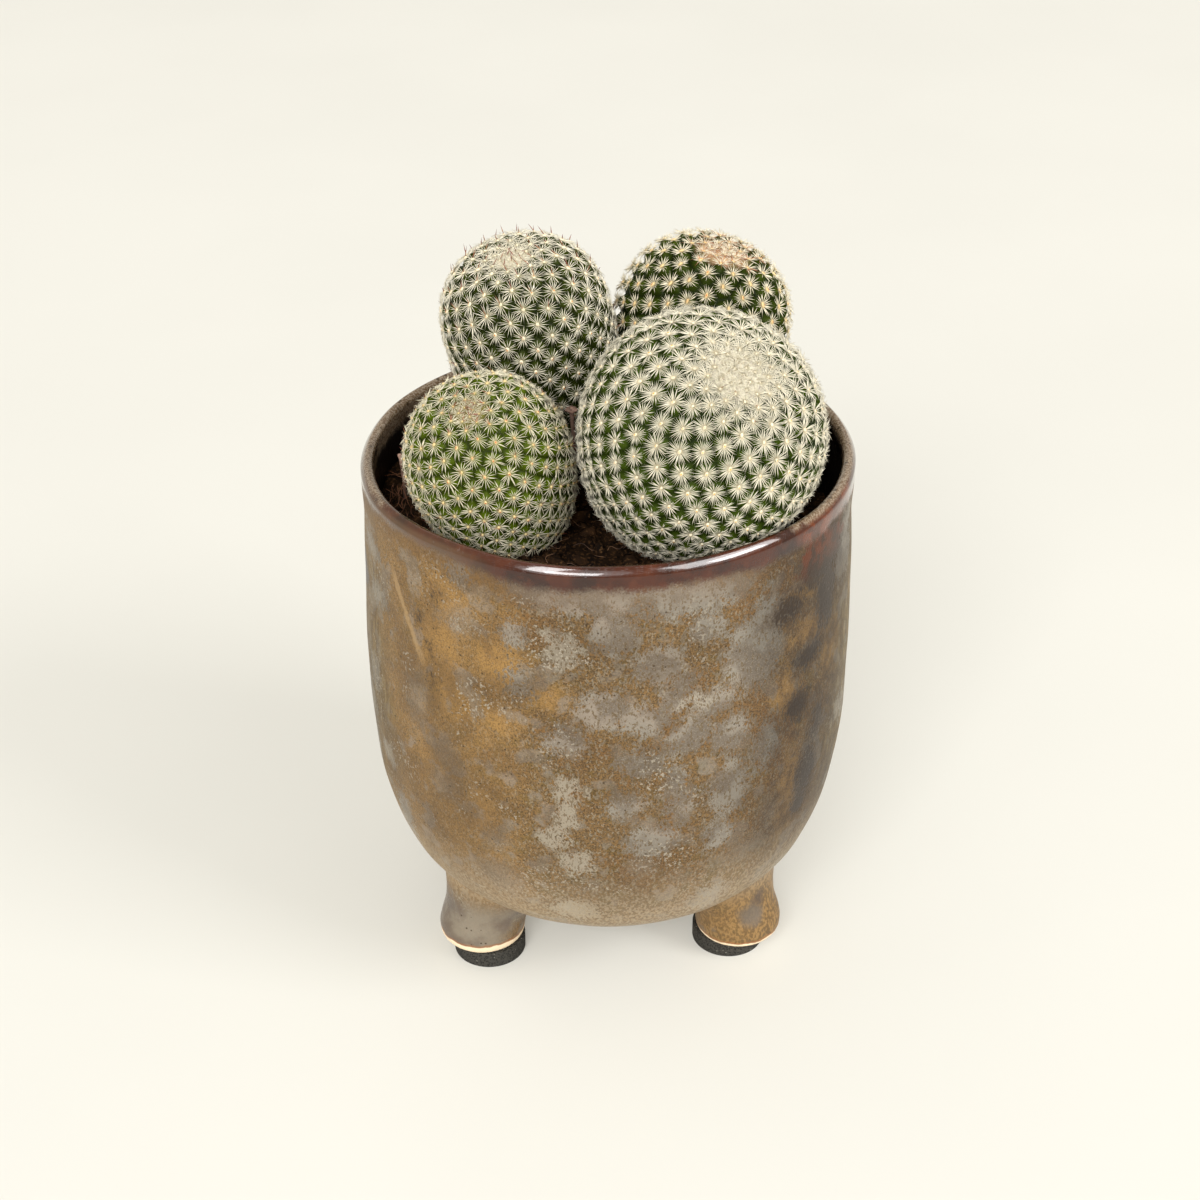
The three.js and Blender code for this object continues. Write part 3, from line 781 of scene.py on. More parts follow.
# The heads are the plant: round stems of one clump, each covered all over by tubercles that
# follow each other by the golden angle from the crown down. Each head leans on its own axis.
# Young tubercles crowd the crown, which sinks in a little.
heads = {
    "front_right": {
        "centre": (19.0, -19.6, 134.2), "lean": (0.28, -0.49, 0.827),
        "radius": 25.0, "rise": 23.4, "drop": 38, "crown_power": 2, "root_power": 1.65,
        "dimple": 1.3, "dimple_width": 7, "pitch": 4.8, "relief": 1.6,
        "crowding": 0.42, "crown_reach": 17, "wool_reach": 8.5,
    },
    "front_left": {
        "centre": (-24.4, -17.8, 126.6), "lean": (-0.18, -0.44, 0.878),
        "radius": 17.2, "rise": 18.6, "drop": 31, "crown_power": 2.1, "root_power": 2,
        "dimple": 1.2, "dimple_width": 4, "pitch": 4.1, "relief": 1.3,
        "crowding": 0.42, "crown_reach": 9, "wool_reach": 4.6,
    },
    "back_left": {
        "centre": (-17.2, 17.3, 140.8), "lean": (-0.18, -0.205, 0.962),
        "radius": 18.3, "rise": 18.3, "drop": 44, "crown_power": 2.35, "root_power": 2.6,
        "dimple": 1.2, "dimple_width": 6, "pitch": 4.4, "relief": 1.4,
        "crowding": 0.45, "crown_reach": 12, "wool_reach": 4.8,
    },
    "back_right": {
        "centre": (20.3, 27.4, 136.1), "lean": (0.25, -0.05, 0.967),
        "radius": 19.1, "rise": 19.2, "drop": 34, "crown_power": 2.2, "root_power": 1.6,
        "dimple": 1.5, "dimple_width": 7, "pitch": 4.7, "relief": 1.9,
        "crowding": 0.46, "crown_reach": 10, "wool_reach": 7,
    },
}
golden_angle = math.pi * (3 - math.sqrt(5))
soil_level = 107
# Each head's skin colours; the valley colour is painted shade, darkest where tubercles meet
skins = {
    "front_right": {"valley_shade": (26, 36, 7), "side": (57, 73, 16), "tip": (88, 102, 38)},
    "front_left": {"valley_shade": (36, 45, 6), "side": (74, 90, 14), "tip": (102, 114, 36)},
    "back_left": {"valley_shade": (23, 30, 6), "side": (52, 61, 14), "tip": (82, 91, 34)},
    "back_right": {"valley_shade": (21, 28, 4), "side": (46, 58, 10), "tip": (74, 84, 24)},
}
crown_wool = {
    "front_right": (232, 225, 207), "front_left": (128, 118, 68),
    "back_left": (224, 214, 186), "back_right": (214, 178, 138),
}
stem_sides = 216
stem_rings = 108
# Most of a stem's rings lie on the part that shows, from the crown down to this turn
shown_turn = 0.8 * math.pi
shown_share = 0.88
skin_steps = 900
# Tubercles are packed like a honeycomb, whose rows are this share of its pitch apart
row_share = 0.866


def side_point(head, turn):
    """Radius and height of a head's skin about its own axis, at a turn down from the crown."""
    upper = turn < math.pi / 2
    power = head["crown_power"] if upper else head["root_power"]
    reach = head["rise"] if upper else head["drop"]
    radius = head["radius"] * math.sin(turn) ** (2 / power)
    height = math.copysign(reach * abs(math.cos(turn)) ** (2 / power), math.cos(turn))
    if upper:
        height -= head["dimple"] * math.exp(-((radius / head["dimple_width"]) ** 2))
    return Vector((radius, height))


def stood(aside, radius, height):
    """A radius and a height about a head's own axis, on one side of it."""
    return aside * radius + Vector((0, 0, height))


def head_frame(head):
    """Where a head's own axis and centre stand in the pot."""
    turn = Vector((0, 0, 1)).rotation_difference(Vector(head["lean"])).to_matrix().to_4x4()
    return Matrix.Translation(Vector(head["centre"])) @ turn


def place_tubercles(head):
    """The seat of each tubercle on the smooth skin, its outward direction and its size."""
    seats = []
    share = 0
    from_crown = 0
    last = side_point(head, 0)
    for step in range(1, skin_steps + 1):
        point = side_point(head, math.pi * step / skin_steps)
        along = point - last
        from_crown += along.length
        size = head["crowding"] + (1 - head["crowding"]) * smooth(0, head["crown_reach"], from_crown)
        pitch = size * head["pitch"]
        share += math.pi * (point[0] + last[0]) * along.length / (row_share * pitch ** 2)
        while len(seats) + 0.5 < share:
            azimuth = len(seats) * golden_angle
            aside = Vector((math.cos(azimuth), math.sin(azimuth), 0))
            seats.append({
                "seat": stood(aside, *point), "out": stood(aside, -along[1], along[0]).normalized(),
                "down": stood(aside, *along).normalized(), "size": size, "from_crown": from_crown,
            })
        last = point
    return seats


def skin_material(name, wool_colour, valley_shade, side, tip):
    """Waxy green skin under wool at the crown, with painted shade that darkens it from the tips down into
    the valleys.
    """
    material, tree, shader = new_material(name, specular=0.03)
    rise = marked(tree, "rise")
    wool = marked(tree, "wool")
    colour = lay(ramp(rise, 0.0, 0.5), paint(*valley_shade), paint(*side))
    colour = lay(ramp(rise, 0.5, 1.0), colour, paint(*tip))
    darker = lay(0.35, colour, paint(*valley_shade))
    colour = lay(patches_in_use(tree, 350.0, 0.35, 0.65), darker, colour)
    pores = specks_in_use(tree, 2600.0, 0.35, 0.5)
    colour = lay(times(pores, 0.35), colour, paint(*tip))
    feed(shader.inputs["Base Color"], lay(wool, colour, paint(*wool_colour)))
    feed(shader.inputs["Roughness"], ramp(wool, 0.0, 1.0, 0.42, 0.9))
    feed(shader.inputs["Normal"], bump(drift_in_use(tree, 1800.0), 0.25, 0.2 * mm))
    shader.inputs["Subsurface Weight"].default_value = 0.1
    shader.inputs["Subsurface Radius"].default_value = (0.6, 1.0, 0.3)
    shader.inputs["Subsurface Scale"].default_value = 0.9 * mm
    return material


for name, head in heads.items():
    head["tubercles"] = place_tubercles(head)
    nearest = kdtree.KDTree(len(head["tubercles"]))
    for index, tubercle in enumerate(head["tubercles"]):
        nearest.insert(tubercle["seat"], index)
    nearest.balance()
    place = head_frame(head)
    bm = bmesh.new()
    rise = bm.verts.layers.float.new("rise")
    wool = bm.verts.layers.float.new("wool")
    bmesh.ops.create_uvsphere(bm, u_segments=stem_sides, v_segments=stem_rings, radius=1)
    for corner in bm.verts:
        share = math.acos(min(max(corner.co.z, -1), 1)) / math.pi
        turn = shown_turn * share / shown_share
        if share > shown_share:
            turn = shown_turn + (math.pi - shown_turn) * (share - shown_share) / (1 - shown_share)
        aside = Vector((corner.co.x, corner.co.y, 0)).normalized()
        point = side_point(head, turn)
        along = side_point(head, min(turn + 0.01, math.pi)) - side_point(head, max(turn - 0.01, 0))
        out = stood(aside, -along[1], along[0]).normalized()
        skin = stood(aside, *point)
        (_, index, first), (_, _, second) = nearest.find_n(skin, 2)
        swell = 1 - (2 * first / (first + second)) ** 1.5
        size = head["tubercles"][index]["size"]
        # How far up its tubercle a point stands, which sets the skin's painted shade in the valleys
        corner[rise] = swell
        woolly = 1 - smooth(head["wool_reach"] * 0.45, head["wool_reach"], point[0])
        corner[wool] = woolly if turn < 1.3 else 0
        corner.co = place @ (skin - out * head["relief"] * size * (1 - swell)) * mm
    bmesh.ops.recalc_face_normals(bm, faces=bm.faces)
    skin_look = skin_material(f"skin_{name}", crown_wool[name], **skins[name])
    body = finished(f"stem_{name}", bm, skin_look)
    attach(body, "root")
    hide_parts(f"head_{name}")

# From each tubercle's tip a star of thin white spines lies out flat over the skin, so that
# neighbouring stars nearly touch. Each spine is a stiff needle, thickest in its lower half.
coats = {
    "front_right": {
        "count": 34, "length": 2.45, "lift": 16, "fan": 13, "thick": 0.08,
        "bows": (-0.02, 0.06, 0.12), "crown": 0.9, "ring": 0.18, "upper": 0.95,
        "tone": (226, 219, 197), "root": (226, 215, 186),
    },
    "front_left": {
        "count": 20, "length": 2.5, "lift": 12, "fan": 9, "thick": 0.076,
        "bows": (-0.14, 0.05, 0.2, 0.32), "crown": 0.6, "ring": 0, "upper": 0.72,
        "tone": (228, 220, 192), "root": (222, 204, 154),
    },
    "back_left": {
        "count": 22, "length": 2.45, "lift": 12, "fan": 9, "thick": 0.075,
        "bows": (-0.02, 0.06, 0.14), "crown": 1.0, "ring": 0.1, "upper": 0.9,
        "tone": (236, 229, 207), "root": (232, 220, 186),
    },
    "back_right": {
        "count": 27, "length": 2.1, "lift": 24, "fan": 17, "thick": 0.079,
        "bows": (0.0, 0.08, 0.16), "crown": 0.75, "ring": 0.1, "upper": 1,
        "tone": (234, 224, 197), "root": (224, 204, 158),
    },
}
# The needles spring from an oval ring, and one that is bowed by enough radii gets a bend more.
# The stars of young tubercles, near the crown, stand more open.
root_ring = (0.34, 0.24)
root_width, widest_at = 0.7, 0.4
bend_width, bend_at = 0.8, 0.72
least_bend = 2.5
young_size = 0.6
open_lift = 16
flat_star_count, open_star_count = 9, 4
buried = 6


def copy_into(bm, shape, place):
    """Adds a copy of a mesh to a bmesh, at a place."""
    copy = shape.copy()
    copy.transform(place)
    bm.from_mesh(copy)
    bpy.data.meshes.remove(copy)


def kept_mesh(bm, name):
    """Ends a bmesh as a plain mesh that copies are taken from."""
    mesh = bpy.data.meshes.new(name)
    bm.to_mesh(mesh)
    bm.free()
    return mesh


def needle_mesh(bow):
    """One needle of radius 1 and length 1 along Z, bowed by so many radii towards its own -Y."""
    bm = bmesh.new()
    along = bm.verts.layers.float.new("along")
    bmesh.ops.create_cone(
        bm, cap_ends=True, segments=3, radius1=root_width, radius2=1, depth=widest_at
    )
    bmesh.ops.translate(bm, verts=bm.verts, vec=(0, 0, widest_at / 2))
    top = max(bm.faces, key=lambda face: face.calc_center_median().z)
    if abs(bow) > least_bend:
        raised = bmesh.ops.extrude_face_region(bm, geom=[top])["geom"]
        bmesh.ops.delete(bm, geom=[top], context="FACES_ONLY")
        for item in raised:
            if isinstance(item, bmesh.types.BMVert):
                item.co = (item.co.x * bend_width, item.co.y * bend_width, bend_at)
            if isinstance(item, bmesh.types.BMFace):
                top = item
    tip = bmesh.ops.poke(bm, faces=[top])["verts"][0]
    tip.co = (0, 0, 1)
    for corner in bm.verts:
        corner[along] = corner.co.z
        corner.co.y -= corner.co.z ** 2 * bow
    return kept_mesh(bm, "needle")


def pointing(root, direction, back, length, thick, roll=0):
    """The place of a needle at a root, along a direction, with its back turned outwards."""
    along = direction.normalized()
    across = back.cross(along).normalized()
    turn = Matrix((across, along.cross(across), along)).transposed().to_4x4()
    form = Matrix.Diagonal((thick, thick, length, 1))
    return Matrix.Translation(root) @ turn @ Matrix.Rotation(roll, 4, "Z") @ form


def spine_star(draw, coat, lift):
    """A star of needles round an areole, in millimetres, with +Z outwards and +X downwards."""
    bm = bmesh.new()
    bm.verts.layers.float.new("along")
    for index in range(coat["count"]):
        azimuth = 2 * math.pi * (index + draw.uniform(-0.3, 0.3)) / coat["count"]
        rise = math.radians(lift + draw.uniform(-coat["fan"], coat["fan"]))
        flat = Vector((math.cos(azimuth), math.sin(azimuth), 0))
        direction = flat * math.cos(rise) + Vector((0, 0, math.sin(rise)))
        length = coat["length"] * draw.uniform(0.82, 1.08)
        length *= coat["upper"] + (1.06 - coat["upper"]) * (0.5 + 0.5 * math.cos(azimuth))
        root = Vector((flat.x * root_ring[0], flat.y * root_ring[1], -0.05))
        thick = coat["thick"] * draw.uniform(0.8, 1.15)
        roll = draw.uniform(-0.7, 0.7)
        bow = draw.choice(coat["bows"])
        copy_into(bm, needles[bow], pointing(root, direction, Vector((0, 0, 1)), length, thick, roll))
    return kept_mesh(bm, "star")


def spine_material(name, tone, root):
    """White spines, cream at the root and duller here and there."""
    material, tree, shader = new_material(name, 0.45)
    colour = lay(ramp(marked(tree, "along"), 0.0, 0.25), paint(*root), paint(*tone))
    dull = tuple((one + other) / 2 for one, other in zip(paint(*tone), paint(186, 176, 150)))
    dull_share = times(patches_in_use(tree, 260.0, 0.45, 0.7), 0.4)
    feed(shader.inputs["Base Color"], lay(dull_share, colour, dull))
    return material


def seat_frame(head, tubercle, sink=0.1):
    """The place of what grows on a tubercle, in millimetres, with +Z outwards and +X downwards."""
    out = tubercle["out"]
    down = tubercle["down"]
    turn = Matrix((down, out.cross(down), out)).transposed().to_4x4()
    return head_frame(head) @ Matrix.Translation(tubercle["seat"] - out * sink) @ turn


def in_sight(head):
    """The tubercles of a head that aren't buried in the soil."""
    return [
        tubercle for tubercle in head["tubercles"]
        if (head_frame(head) @ tubercle["seat"]).z > soil_level - buried
    ]


millimetres = Matrix.Scale(mm, 4)
for name, coat in coats.items():
    head = heads[name]
    draw = random.Random(f"coat {name}")
    needles = {bow: needle_mesh(bow * coat["length"] / coat["thick"]) for bow in coat["bows"]}
    flat_stars = [spine_star(draw, coat, coat["lift"]) for _ in range(flat_star_count)]
    open_stars = [
        spine_star(draw, coat, coat["lift"] + open_lift) for _ in range(open_star_count)
    ]
    bm = bmesh.new()
    bm.verts.layers.float.new("along")
    for tubercle in in_sight(head):
        star = draw.choice(open_stars if tubercle["size"] < young_size else flat_stars)
        ring = smooth(2, 8, tubercle["from_crown"]) * (1 - smooth(18, 30, tubercle["from_crown"]))
        size = draw.uniform(0.88, 1.08) * (coat["crown"] + (1 - coat["crown"]) * tubercle["size"])
        size *= 1 + coat["ring"] * ring
        twist = Matrix.Rotation(draw.uniform(-0.5, 0.5), 4, "Z")
        copy_into(bm, star, millimetres @ seat_frame(head, tubercle) @ twist @ Matrix.Scale(size, 4))
    spine_look = spine_material(f"spine_{name}", coat["tone"], coat["root"])
    spines = finished(f"spines_{name}", bm, spine_look)
    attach(spines, "root")

# Where the spines spring from it, each tubercle's tip carries an areole: an oval pad of short
# cream wool, yellow to orange at its heart. It is felted to the tip under the spines.
areoles = {
    "front_right": {"wool": (226, 216, 188), "heart": (216, 162, 74), "long": 0.5, "wide": 0.34,
                    "bare": 13},
    "front_left": {"wool": (214, 196, 142), "heart": (196, 84, 24), "long": 0.4, "wide": 0.3, "bare": 3},
    "back_left": {"wool": (232, 222, 192), "heart": (210, 136, 56), "long": 0.52, "wide": 0.4, "bare": 7},
    "back_right": {"wool": (220, 198, 146), "heart": (204, 116, 42), "long": 0.66, "wide": 0.3, "bare": 4},
}
areole_dome = 0.36


def areole_mesh(ripe):
    """A woolly dome of radius 1, with its heart marked if it is ripe."""
    bm = bmesh.new()
    heart = bm.verts.layers.float.new("heart")
    bmesh.ops.create_uvsphere(bm, u_segments=7, v_segments=4, radius=1)
    for corner in bm.verts:
        corner[heart] = max(0, 1 - 1.5 * math.hypot(corner.co.x, corner.co.y)) if ripe else 0
    return kept_mesh(bm, "areole")


def areole_material(name, wool, heart):
    """Felted wool, warmer at its heart, some areoles more than others."""
    material, tree, shader = new_material(name, 0.9)
    warmer = ramp(patches_in_use(tree, 160.0, 0.38, 0.62), 0.0, 1.0, 0.35, 1.0)
    core = times(ramp(marked(tree, "heart"), 0.0, 0.7), warmer)
    feed(shader.inputs["Base Color"], lay(core, paint(*wool), paint(*heart)))
    feed(shader.inputs["Normal"], bump(drift_in_use(tree, 3000.0), 0.6, 0.15 * mm))
    return material


young_areole, ripe_areole = areole_mesh(False), areole_mesh(True)
for name, facts in areoles.items():
    head = heads[name]
    draw = random.Random(f"areoles {name}")
    bm = bmesh.new()
    bm.verts.layers.float.new("heart")
    for tubercle in in_sight(head):
        areole = young_areole if tubercle["from_crown"] < facts["bare"] else ripe_areole
        size = draw.uniform(0.85, 1.15) * (0.35 + 0.65 * tubercle["size"])
        form = Matrix.Diagonal((facts["long"] * size, facts["wide"] * size, areole_dome * size, 1))
        copy_into(bm, areole, millimetres @ seat_frame(head, tubercle, 0.05) @ form)
    wool_look = areole_material(f"areole_{name}", facts["wool"], facts["heart"])
    pads = finished(f"areoles_{name}", bm, wool_look)
    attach(pads, "root")

# Some areoles also carry central spines, which stand up out of the star: long and thin on the
# back left head, short and brown on the front left one, dry and matted on the back right
# crown. They are red-brown and darker at the tip.
centrals = {
    "front_left": {
        "near": 6.5, "each_near": 3, "share_far": 0.75, "length": 2.0, "length_far": 1.6,
        "thick": 0.07, "lift": (15, 60), "spread": 75, "tone": (150, 72, 38), "tip": (96, 32, 18),
    },
    "back_left": {
        "near": 17, "each_near": 0.9, "share_far": 0.25, "length": 2.7, "length_far": 1.9,
        "thick": 0.12, "lift": (40, 70), "spread": 40, "tone": (136, 70, 46), "tip": (98, 40, 28),
    },
    "back_right": {
        "near": 8.5, "each_near": 10, "share_far": 0.12, "length": 2.9, "length_far": 1.2,
        "thick": 0.065, "lift": (0, 24), "spread": 180, "tone": (198, 142, 98), "tip": (142, 76, 48),
    },
    "front_right": {
        "near": 8, "each_near": 0.14, "share_far": 0.02, "length": 1.4, "length_far": 0.9,
        "thick": 0.08, "lift": (15, 50), "spread": 180, "tone": (150, 84, 54), "tip": (104, 40, 28),
    },
}
headroom = 0.15
highest = cad_box[1][2] / mm - headroom
bristle_bow = 2
bristle = needle_mesh(bristle_bow)


def bristle_material(name, tone, tip):
    """Horny red-brown spines, paler here and there, darker towards the tip."""
    material, tree, shader = new_material(name)
    base = lay(patches_in_use(tree, 500.0, 0.4, 0.6), paint(*tone), paint(184, 140, 100))
    feed(shader.inputs["Base Color"], lay(ramp(marked(tree, "along"), 0.2, 0.9), base, paint(*tip)))
    return material


for name, facts in centrals.items():
    head = heads[name]
    draw = random.Random(f"centrals {name}")
    bm = bmesh.new()
    bm.verts.layers.float.new("along")
    for tubercle in in_sight(head):
        near = tubercle["from_crown"] < facts["near"]
        wanted = facts["each_near"] if near else facts["share_far"]
        count = int(wanted) + (draw.random() < wanted - int(wanted))
        for _ in range(count):
            lift = math.radians(draw.uniform(*facts["lift"]))
            azimuth = math.pi + math.radians(draw.uniform(-facts["spread"], facts["spread"]))
            east, north = math.cos(azimuth) * math.cos(lift), math.sin(azimuth) * math.cos(lift)
            direction = Vector((east, north, math.sin(lift)))
            length = (facts["length"] if near else facts["length_far"]) * draw.uniform(0.7, 1.15)
            seat = seat_frame(head, tubercle)
            too_high = (seat @ (direction * length)).z - highest
            if too_high > 0:
                length -= too_high * 1.1
            place = pointing(Vector((0, 0, 0.1)), direction, Vector((0, 0.3, 1)), length, facts["thick"])
            copy_into(bm, bristle, millimetres @ seat @ place)
    horn_look = bristle_material(f"central_{name}", facts["tone"], facts["tip"])
    bristles = finished(f"centrals_{name}", bm, horn_look)
    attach(bristles, "root")

# The soil is dark brown peat, pressed in round the stems to about 12 mm below the rim. Its top
# is crumbly and dips towards the right.
soil_gap = 0.3
soil_dip = 5
soil_lumps = 0.7
soil_rings = 80
soil_sides = 180
soil_shoulder = 3
soil_edge = rim_radius - 2 * lip_radius - soil_gap - 0.1
crumb_relief = ((4.5, 1.3), (1.9, 0.8), (0.8, 0.4))
peat_dark = (18, 11, 7)
peat_brown = (36, 24, 14)
peat_tan = (84, 59, 36)


def soil_height(x, y):
    """The height of the soil's top without its crumbs."""
    dip = soil_dip * smooth(5, 45, x)
    lumps = math.sin(x * 0.31 + 1) * math.cos(y * 0.27) + 0.6 * math.sin(x * 0.13 - y * 0.19)
    return soil_level - dip + soil_lumps * lumps


def crumbly(x, y):
    """The fine relief of loose peat, in three sizes, each with its depth."""
    return sum(depth * noise.noise(Vector((x, y, 7)) / size) for size, depth in crumb_relief)


peat, tree, shader = new_material("peat", 0.95, 0.03)
lumps = patches_in_use(tree, 420.0, 0.38, 0.62, detail=5.0)
crumbs = patches_in_use(tree, 1500.0, 0.5, 0.68, detail=4.0)
peat_colour = lay(lumps, paint(*peat_dark), paint(*peat_brown))
peat_colour = lay(times(crumbs, 0.6), peat_colour, paint(*peat_tan))
feed(shader.inputs["Base Color"], peat_colour)
feed(shader.inputs["Normal"], bump(drift_in_use(tree, 1800.0), 0.8, 0.4 * mm))

soil_side = [
    (radius - soil_gap, height) for radius, height in reversed(smooth_line(inner_points, 30))
    if height < soil_level - soil_dip - soil_shoulder
]
soil_top = [(soil_edge * (1 - ring / soil_rings), soil_level) for ring in range(soil_rings + 1)]
bm = bmesh.new()
turned(bm, [(0, underside_height + wall + soil_gap), *soil_side, *soil_top], soil_sides)
for corner in bm.verts:
    if corner.co.z > (soil_level - 0.1) * mm:
        x, y = corner.co.x / mm, corner.co.y / mm
        corner.co.z = (soil_height(x, y) + crumbly(x, y)) * mm
bmesh.ops.recalc_face_normals(bm, faces=bm.faces)
soil = finished("peat_bed", bm, peat)
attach(soil, "root")
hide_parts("soil")

# Loose crumbs of peat and bark lie on the soil, most of them small, with fine root fibres tangled
# among them. Dead roots stand up along the left wall.
crumb_count = 620
smallest_crumb = 0.35
crumb_spread = 1.5
crumb_bias = 2.6
wall_margin = 1.2
stem_margin = 0.94
fibre_count = 230
fibre_steps = 7
fibre_radius, fibre_tip = 0.065, 0.02
dead_roots = {"count": 20, "azimuth": (184, 214), "reach": (42.5, 46.5), "height": (1, 9)}


def crumb_mesh(draw):
    """One rough crumb, about 1 mm in radius."""
    bm = bmesh.new()
    bmesh.ops.create_icosphere(bm, subdivisions=2, radius=1)
    shift = Vector((draw.uniform(0, 50), 0, 0))
    for corner in bm.verts:
        dents = 0.5 * noise.noise(corner.co * 1.3 + shift) + 0.4 * noise.noise(corner.co * 3.2 - shift)
        corner.co *= 1 + dents
    return kept_mesh(bm, "crumb")


def drawn_out(bm, path, radii, sides):
    """A closed rod drawn out along a path, with its own radius at each point."""
    ring = bmesh.ops.create_circle(bm, cap_ends=True, segments=sides, radius=1)["verts"]
    heading = Vector((0, 0, 1))
    centre = Vector()
    width = 1
    for step, (point, radius) in enumerate(zip(path, radii)):
        if step:
            ring = next_ring(bm, ring, step == 1)
        before = path[max(step - 1, 0)]
        after = path[min(step + 1, len(path) - 1)]
        towards = (after - before).normalized()
        turn = heading.rotation_difference(towards).to_matrix()
        for corner in ring:
            corner.co = point + turn @ (corner.co - centre) * (radius / width)
        heading, centre, width = towards, point.copy(), radius
    bmesh.ops.recalc_face_normals(bm, faces=bm.faces)


def fibre_mesh(draw):
    """One curly root fibre, 3 to 7 mm long, lying along X."""
    bm = bmesh.new()
    length = draw.uniform(3, 7)
    turns = [draw.uniform(0.5, 1.6) for _ in range(2)]
    path = []
    for step in range(fibre_steps + 1):
        along = length * (step / fibre_steps - 0.5)
        aside = 0.7 * math.sin(turns[0] * step * 0.9)
        path.append(Vector((along, aside, 0.35 * math.sin(turns[1] * step) + 0.25)))
    drawn_out(bm, path, [fibre_radius] * fibre_steps + [fibre_tip], 4)
    return kept_mesh(bm, "fibre")


def in_a_stem(spot):
    """Whether a place lies inside one of the stems."""
    for head in heads.values():
        local = head_frame(head).inverted() @ spot
        power = head["root_power"]
        aside = math.hypot(local.x, local.y) / head["radius"]
        if (abs(local.z) / head["drop"]) ** power + aside ** power < stem_margin:
            return True
    return False


def on_soil(draw):
    """A place on the soil, drawn evenly, which keeps clear of the stems."""
    while True:
        reach = (soil_edge - wall_margin) * math.sqrt(draw.random())
        azimuth = draw.uniform(0, 2 * math.pi)
        x, y = reach * math.cos(azimuth), reach * math.sin(azimuth)
        spot = Vector((x, y, soil_height(x, y) + crumbly(x, y)))
        if not in_a_stem(spot):
            return spot


def tumbled(draw, low, high):
    """A turn to any side, after a tilt between two angles."""
    turn = Matrix.Rotation(draw.uniform(0, 2 * math.pi), 4, "Z")
    return turn @ Matrix.Rotation(draw.uniform(low, high), 4, "Y")


bark, tree, shader = new_material("bark_crumbs", 0.95, 0.05)
tones = patches_in_use(tree, 240.0, 0.3, 0.7, detail=1.0)
bark_colour = lay(tones, paint(20, 13, 8), paint(60, 40, 24))
speckle = patches_in_use(tree, 1400.0, 0.52, 0.7)
feed(shader.inputs["Base Color"], lay(times(speckle, 0.6), bark_colour, paint(106, 77, 48)))
feed(shader.inputs["Normal"], bump(drift_in_use(tree, 2200.0), 0.7, 0.3 * mm))

draw = random.Random("crumbs")
crumb_shapes = [crumb_mesh(draw) for _ in range(6)]
bm = bmesh.new()
for _ in range(crumb_count):
    spot = on_soil(draw)
    size = smallest_crumb + crumb_spread * draw.random() ** crumb_bias
    flat = draw.uniform(0.45, 0.9)
    form = Matrix.Diagonal((size * draw.uniform(1, 1.9), size, size * flat, 1))
    turn = tumbled(draw, -0.6, 0.6)
    copy_into(bm, draw.choice(crumb_shapes), millimetres @ Matrix.Translation(spot) @ turn @ form)
crumbs_piece = finished("peat_crumbs", bm, bark)
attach(crumbs_piece, "root")

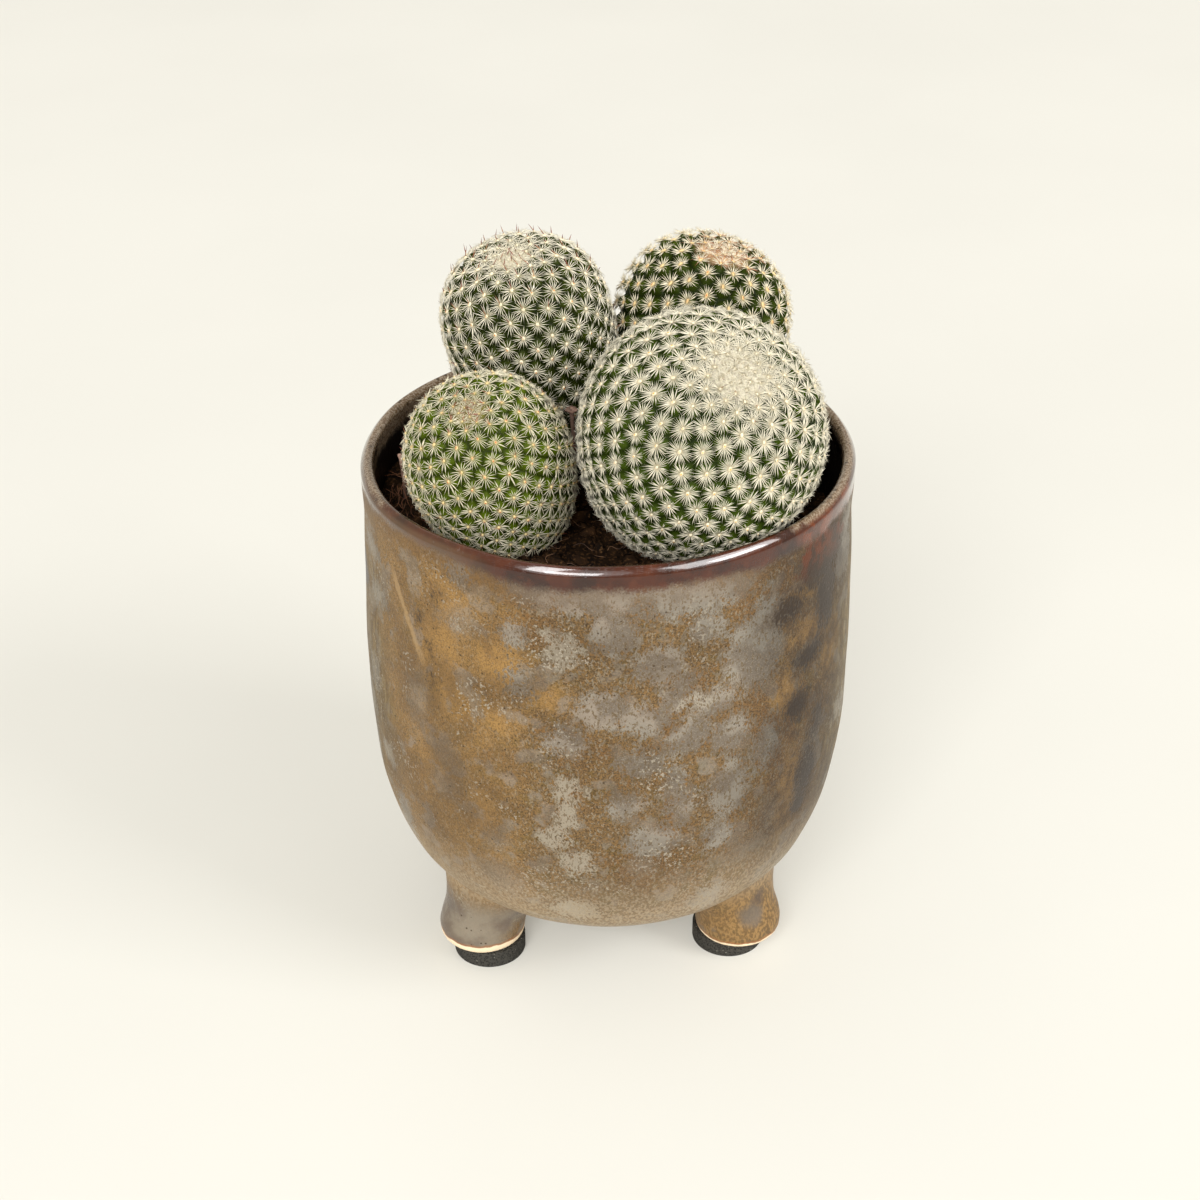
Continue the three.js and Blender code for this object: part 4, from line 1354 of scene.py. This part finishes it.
root_fibre, tree, shader = new_material("root_fibre", 0.8)
fibre_colour = lay(patches_in_use(tree, 300.0, 0.35, 0.65), paint(62, 39, 25), paint(122, 86, 56))
sideways = worked("ShaderNodeSeparateXYZ", {0: place_in(tree)})
at_left = ramp(sideways, -35 * mm, -39 * mm, 0.0, 0.6)
feed(shader.inputs["Base Color"], lay(at_left, fibre_colour, paint(132, 78, 44)))
fibre_shapes = [fibre_mesh(draw) for _ in range(8)]
bm = bmesh.new()
for _ in range(fibre_count):
    spot = on_soil(draw) + Vector((0, 0, 0.4))
    turn = tumbled(draw, -0.35, 0.35)
    copy_into(bm, draw.choice(fibre_shapes), millimetres @ Matrix.Translation(spot) @ turn)
for _ in range(dead_roots["count"]):
    azimuth = math.radians(draw.uniform(*dead_roots["azimuth"]))
    reach = draw.uniform(*dead_roots["reach"])
    height = soil_level + draw.uniform(*dead_roots["height"])
    spot = Vector((reach * math.cos(azimuth), reach * math.sin(azimuth), height))
    turn = tumbled(draw, -1.5, -0.9)
    copy_into(bm, draw.choice(fibre_shapes), millimetres @ Matrix.Translation(spot) @ turn)
fibres_piece = finished("root_fibres", bm, root_fibre)
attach(fibres_piece, "root")

# Two dried stalks stand in the soil: a thick one with a knob at its end, between the heads, and
# a thin one beside the left wall. They are what is left of old shoots.
stalks = {
    "stub": {"foot": (-7.4, 3.5, 104), "top": (-7.8, 2.6, 127.5), "radius": 0.45, "knob": 1.2},
    "straw": {"foot": (-44.0, 1.9, 104), "top": (-44.4, 1.0, 117.4), "radius": 0.42, "knob": 0.5},
}
stalk_steps = 14
stalk_sway = 0.2
dry_stalk, tree, shader = new_material("dry_stalk", 0.8)
pinkish = patches_in_use(tree, 200.0, 0.35, 0.6)
stalk_colour = lay(pinkish, paint(92, 62, 46), paint(168, 134, 116))
streaks = patches_in_use(tree, 1400.0, 0.5, 0.7, stretch=(1.0, 1.0, 0.15))
feed(shader.inputs["Base Color"], lay(times(streaks, 0.6), stalk_colour, paint(74, 46, 32)))
feed(shader.inputs["Normal"], bump(streaks, 0.6, 0.25 * mm))

bm = bmesh.new()
for stalk in stalks.values():
    foot, top = Vector(stalk["foot"]), Vector(stalk["top"])
    bow = Vector((stalk["radius"], 0, 0))
    path, radii = [], []
    for step in range(stalk_steps + 1):
        sway = noise.noise(Vector((step, 3, stalk["radius"]))), noise.noise(Vector((9, step, 4))), 0
        middle = foot.lerp(top, step / stalk_steps) + bow * math.sin(math.pi * step / stalk_steps)
        path.append((middle + Vector(sway) * stalk_sway) * mm)
        radii.append(stalk["radius"] * mm * (1 + 0.15 * noise.noise(Vector((step * 1.7, 5, 5)))))
    drawn_out(bm, path, radii, 12)
    knob = bmesh.ops.create_icosphere(bm, subdivisions=4, radius=stalk["knob"] * mm)["verts"]
    for corner in knob:
        corner.co *= 1 + 0.5 * noise.noise(corner.co / (stalk["knob"] * mm) * 2.2 + foot)
        corner.co.z *= 0.5
    bmesh.ops.translate(bm, verts=knob, vec=top * mm)
dry_stalks = finished("dry_stalks", bm, dry_stalk)
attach(dry_stalks, "root")
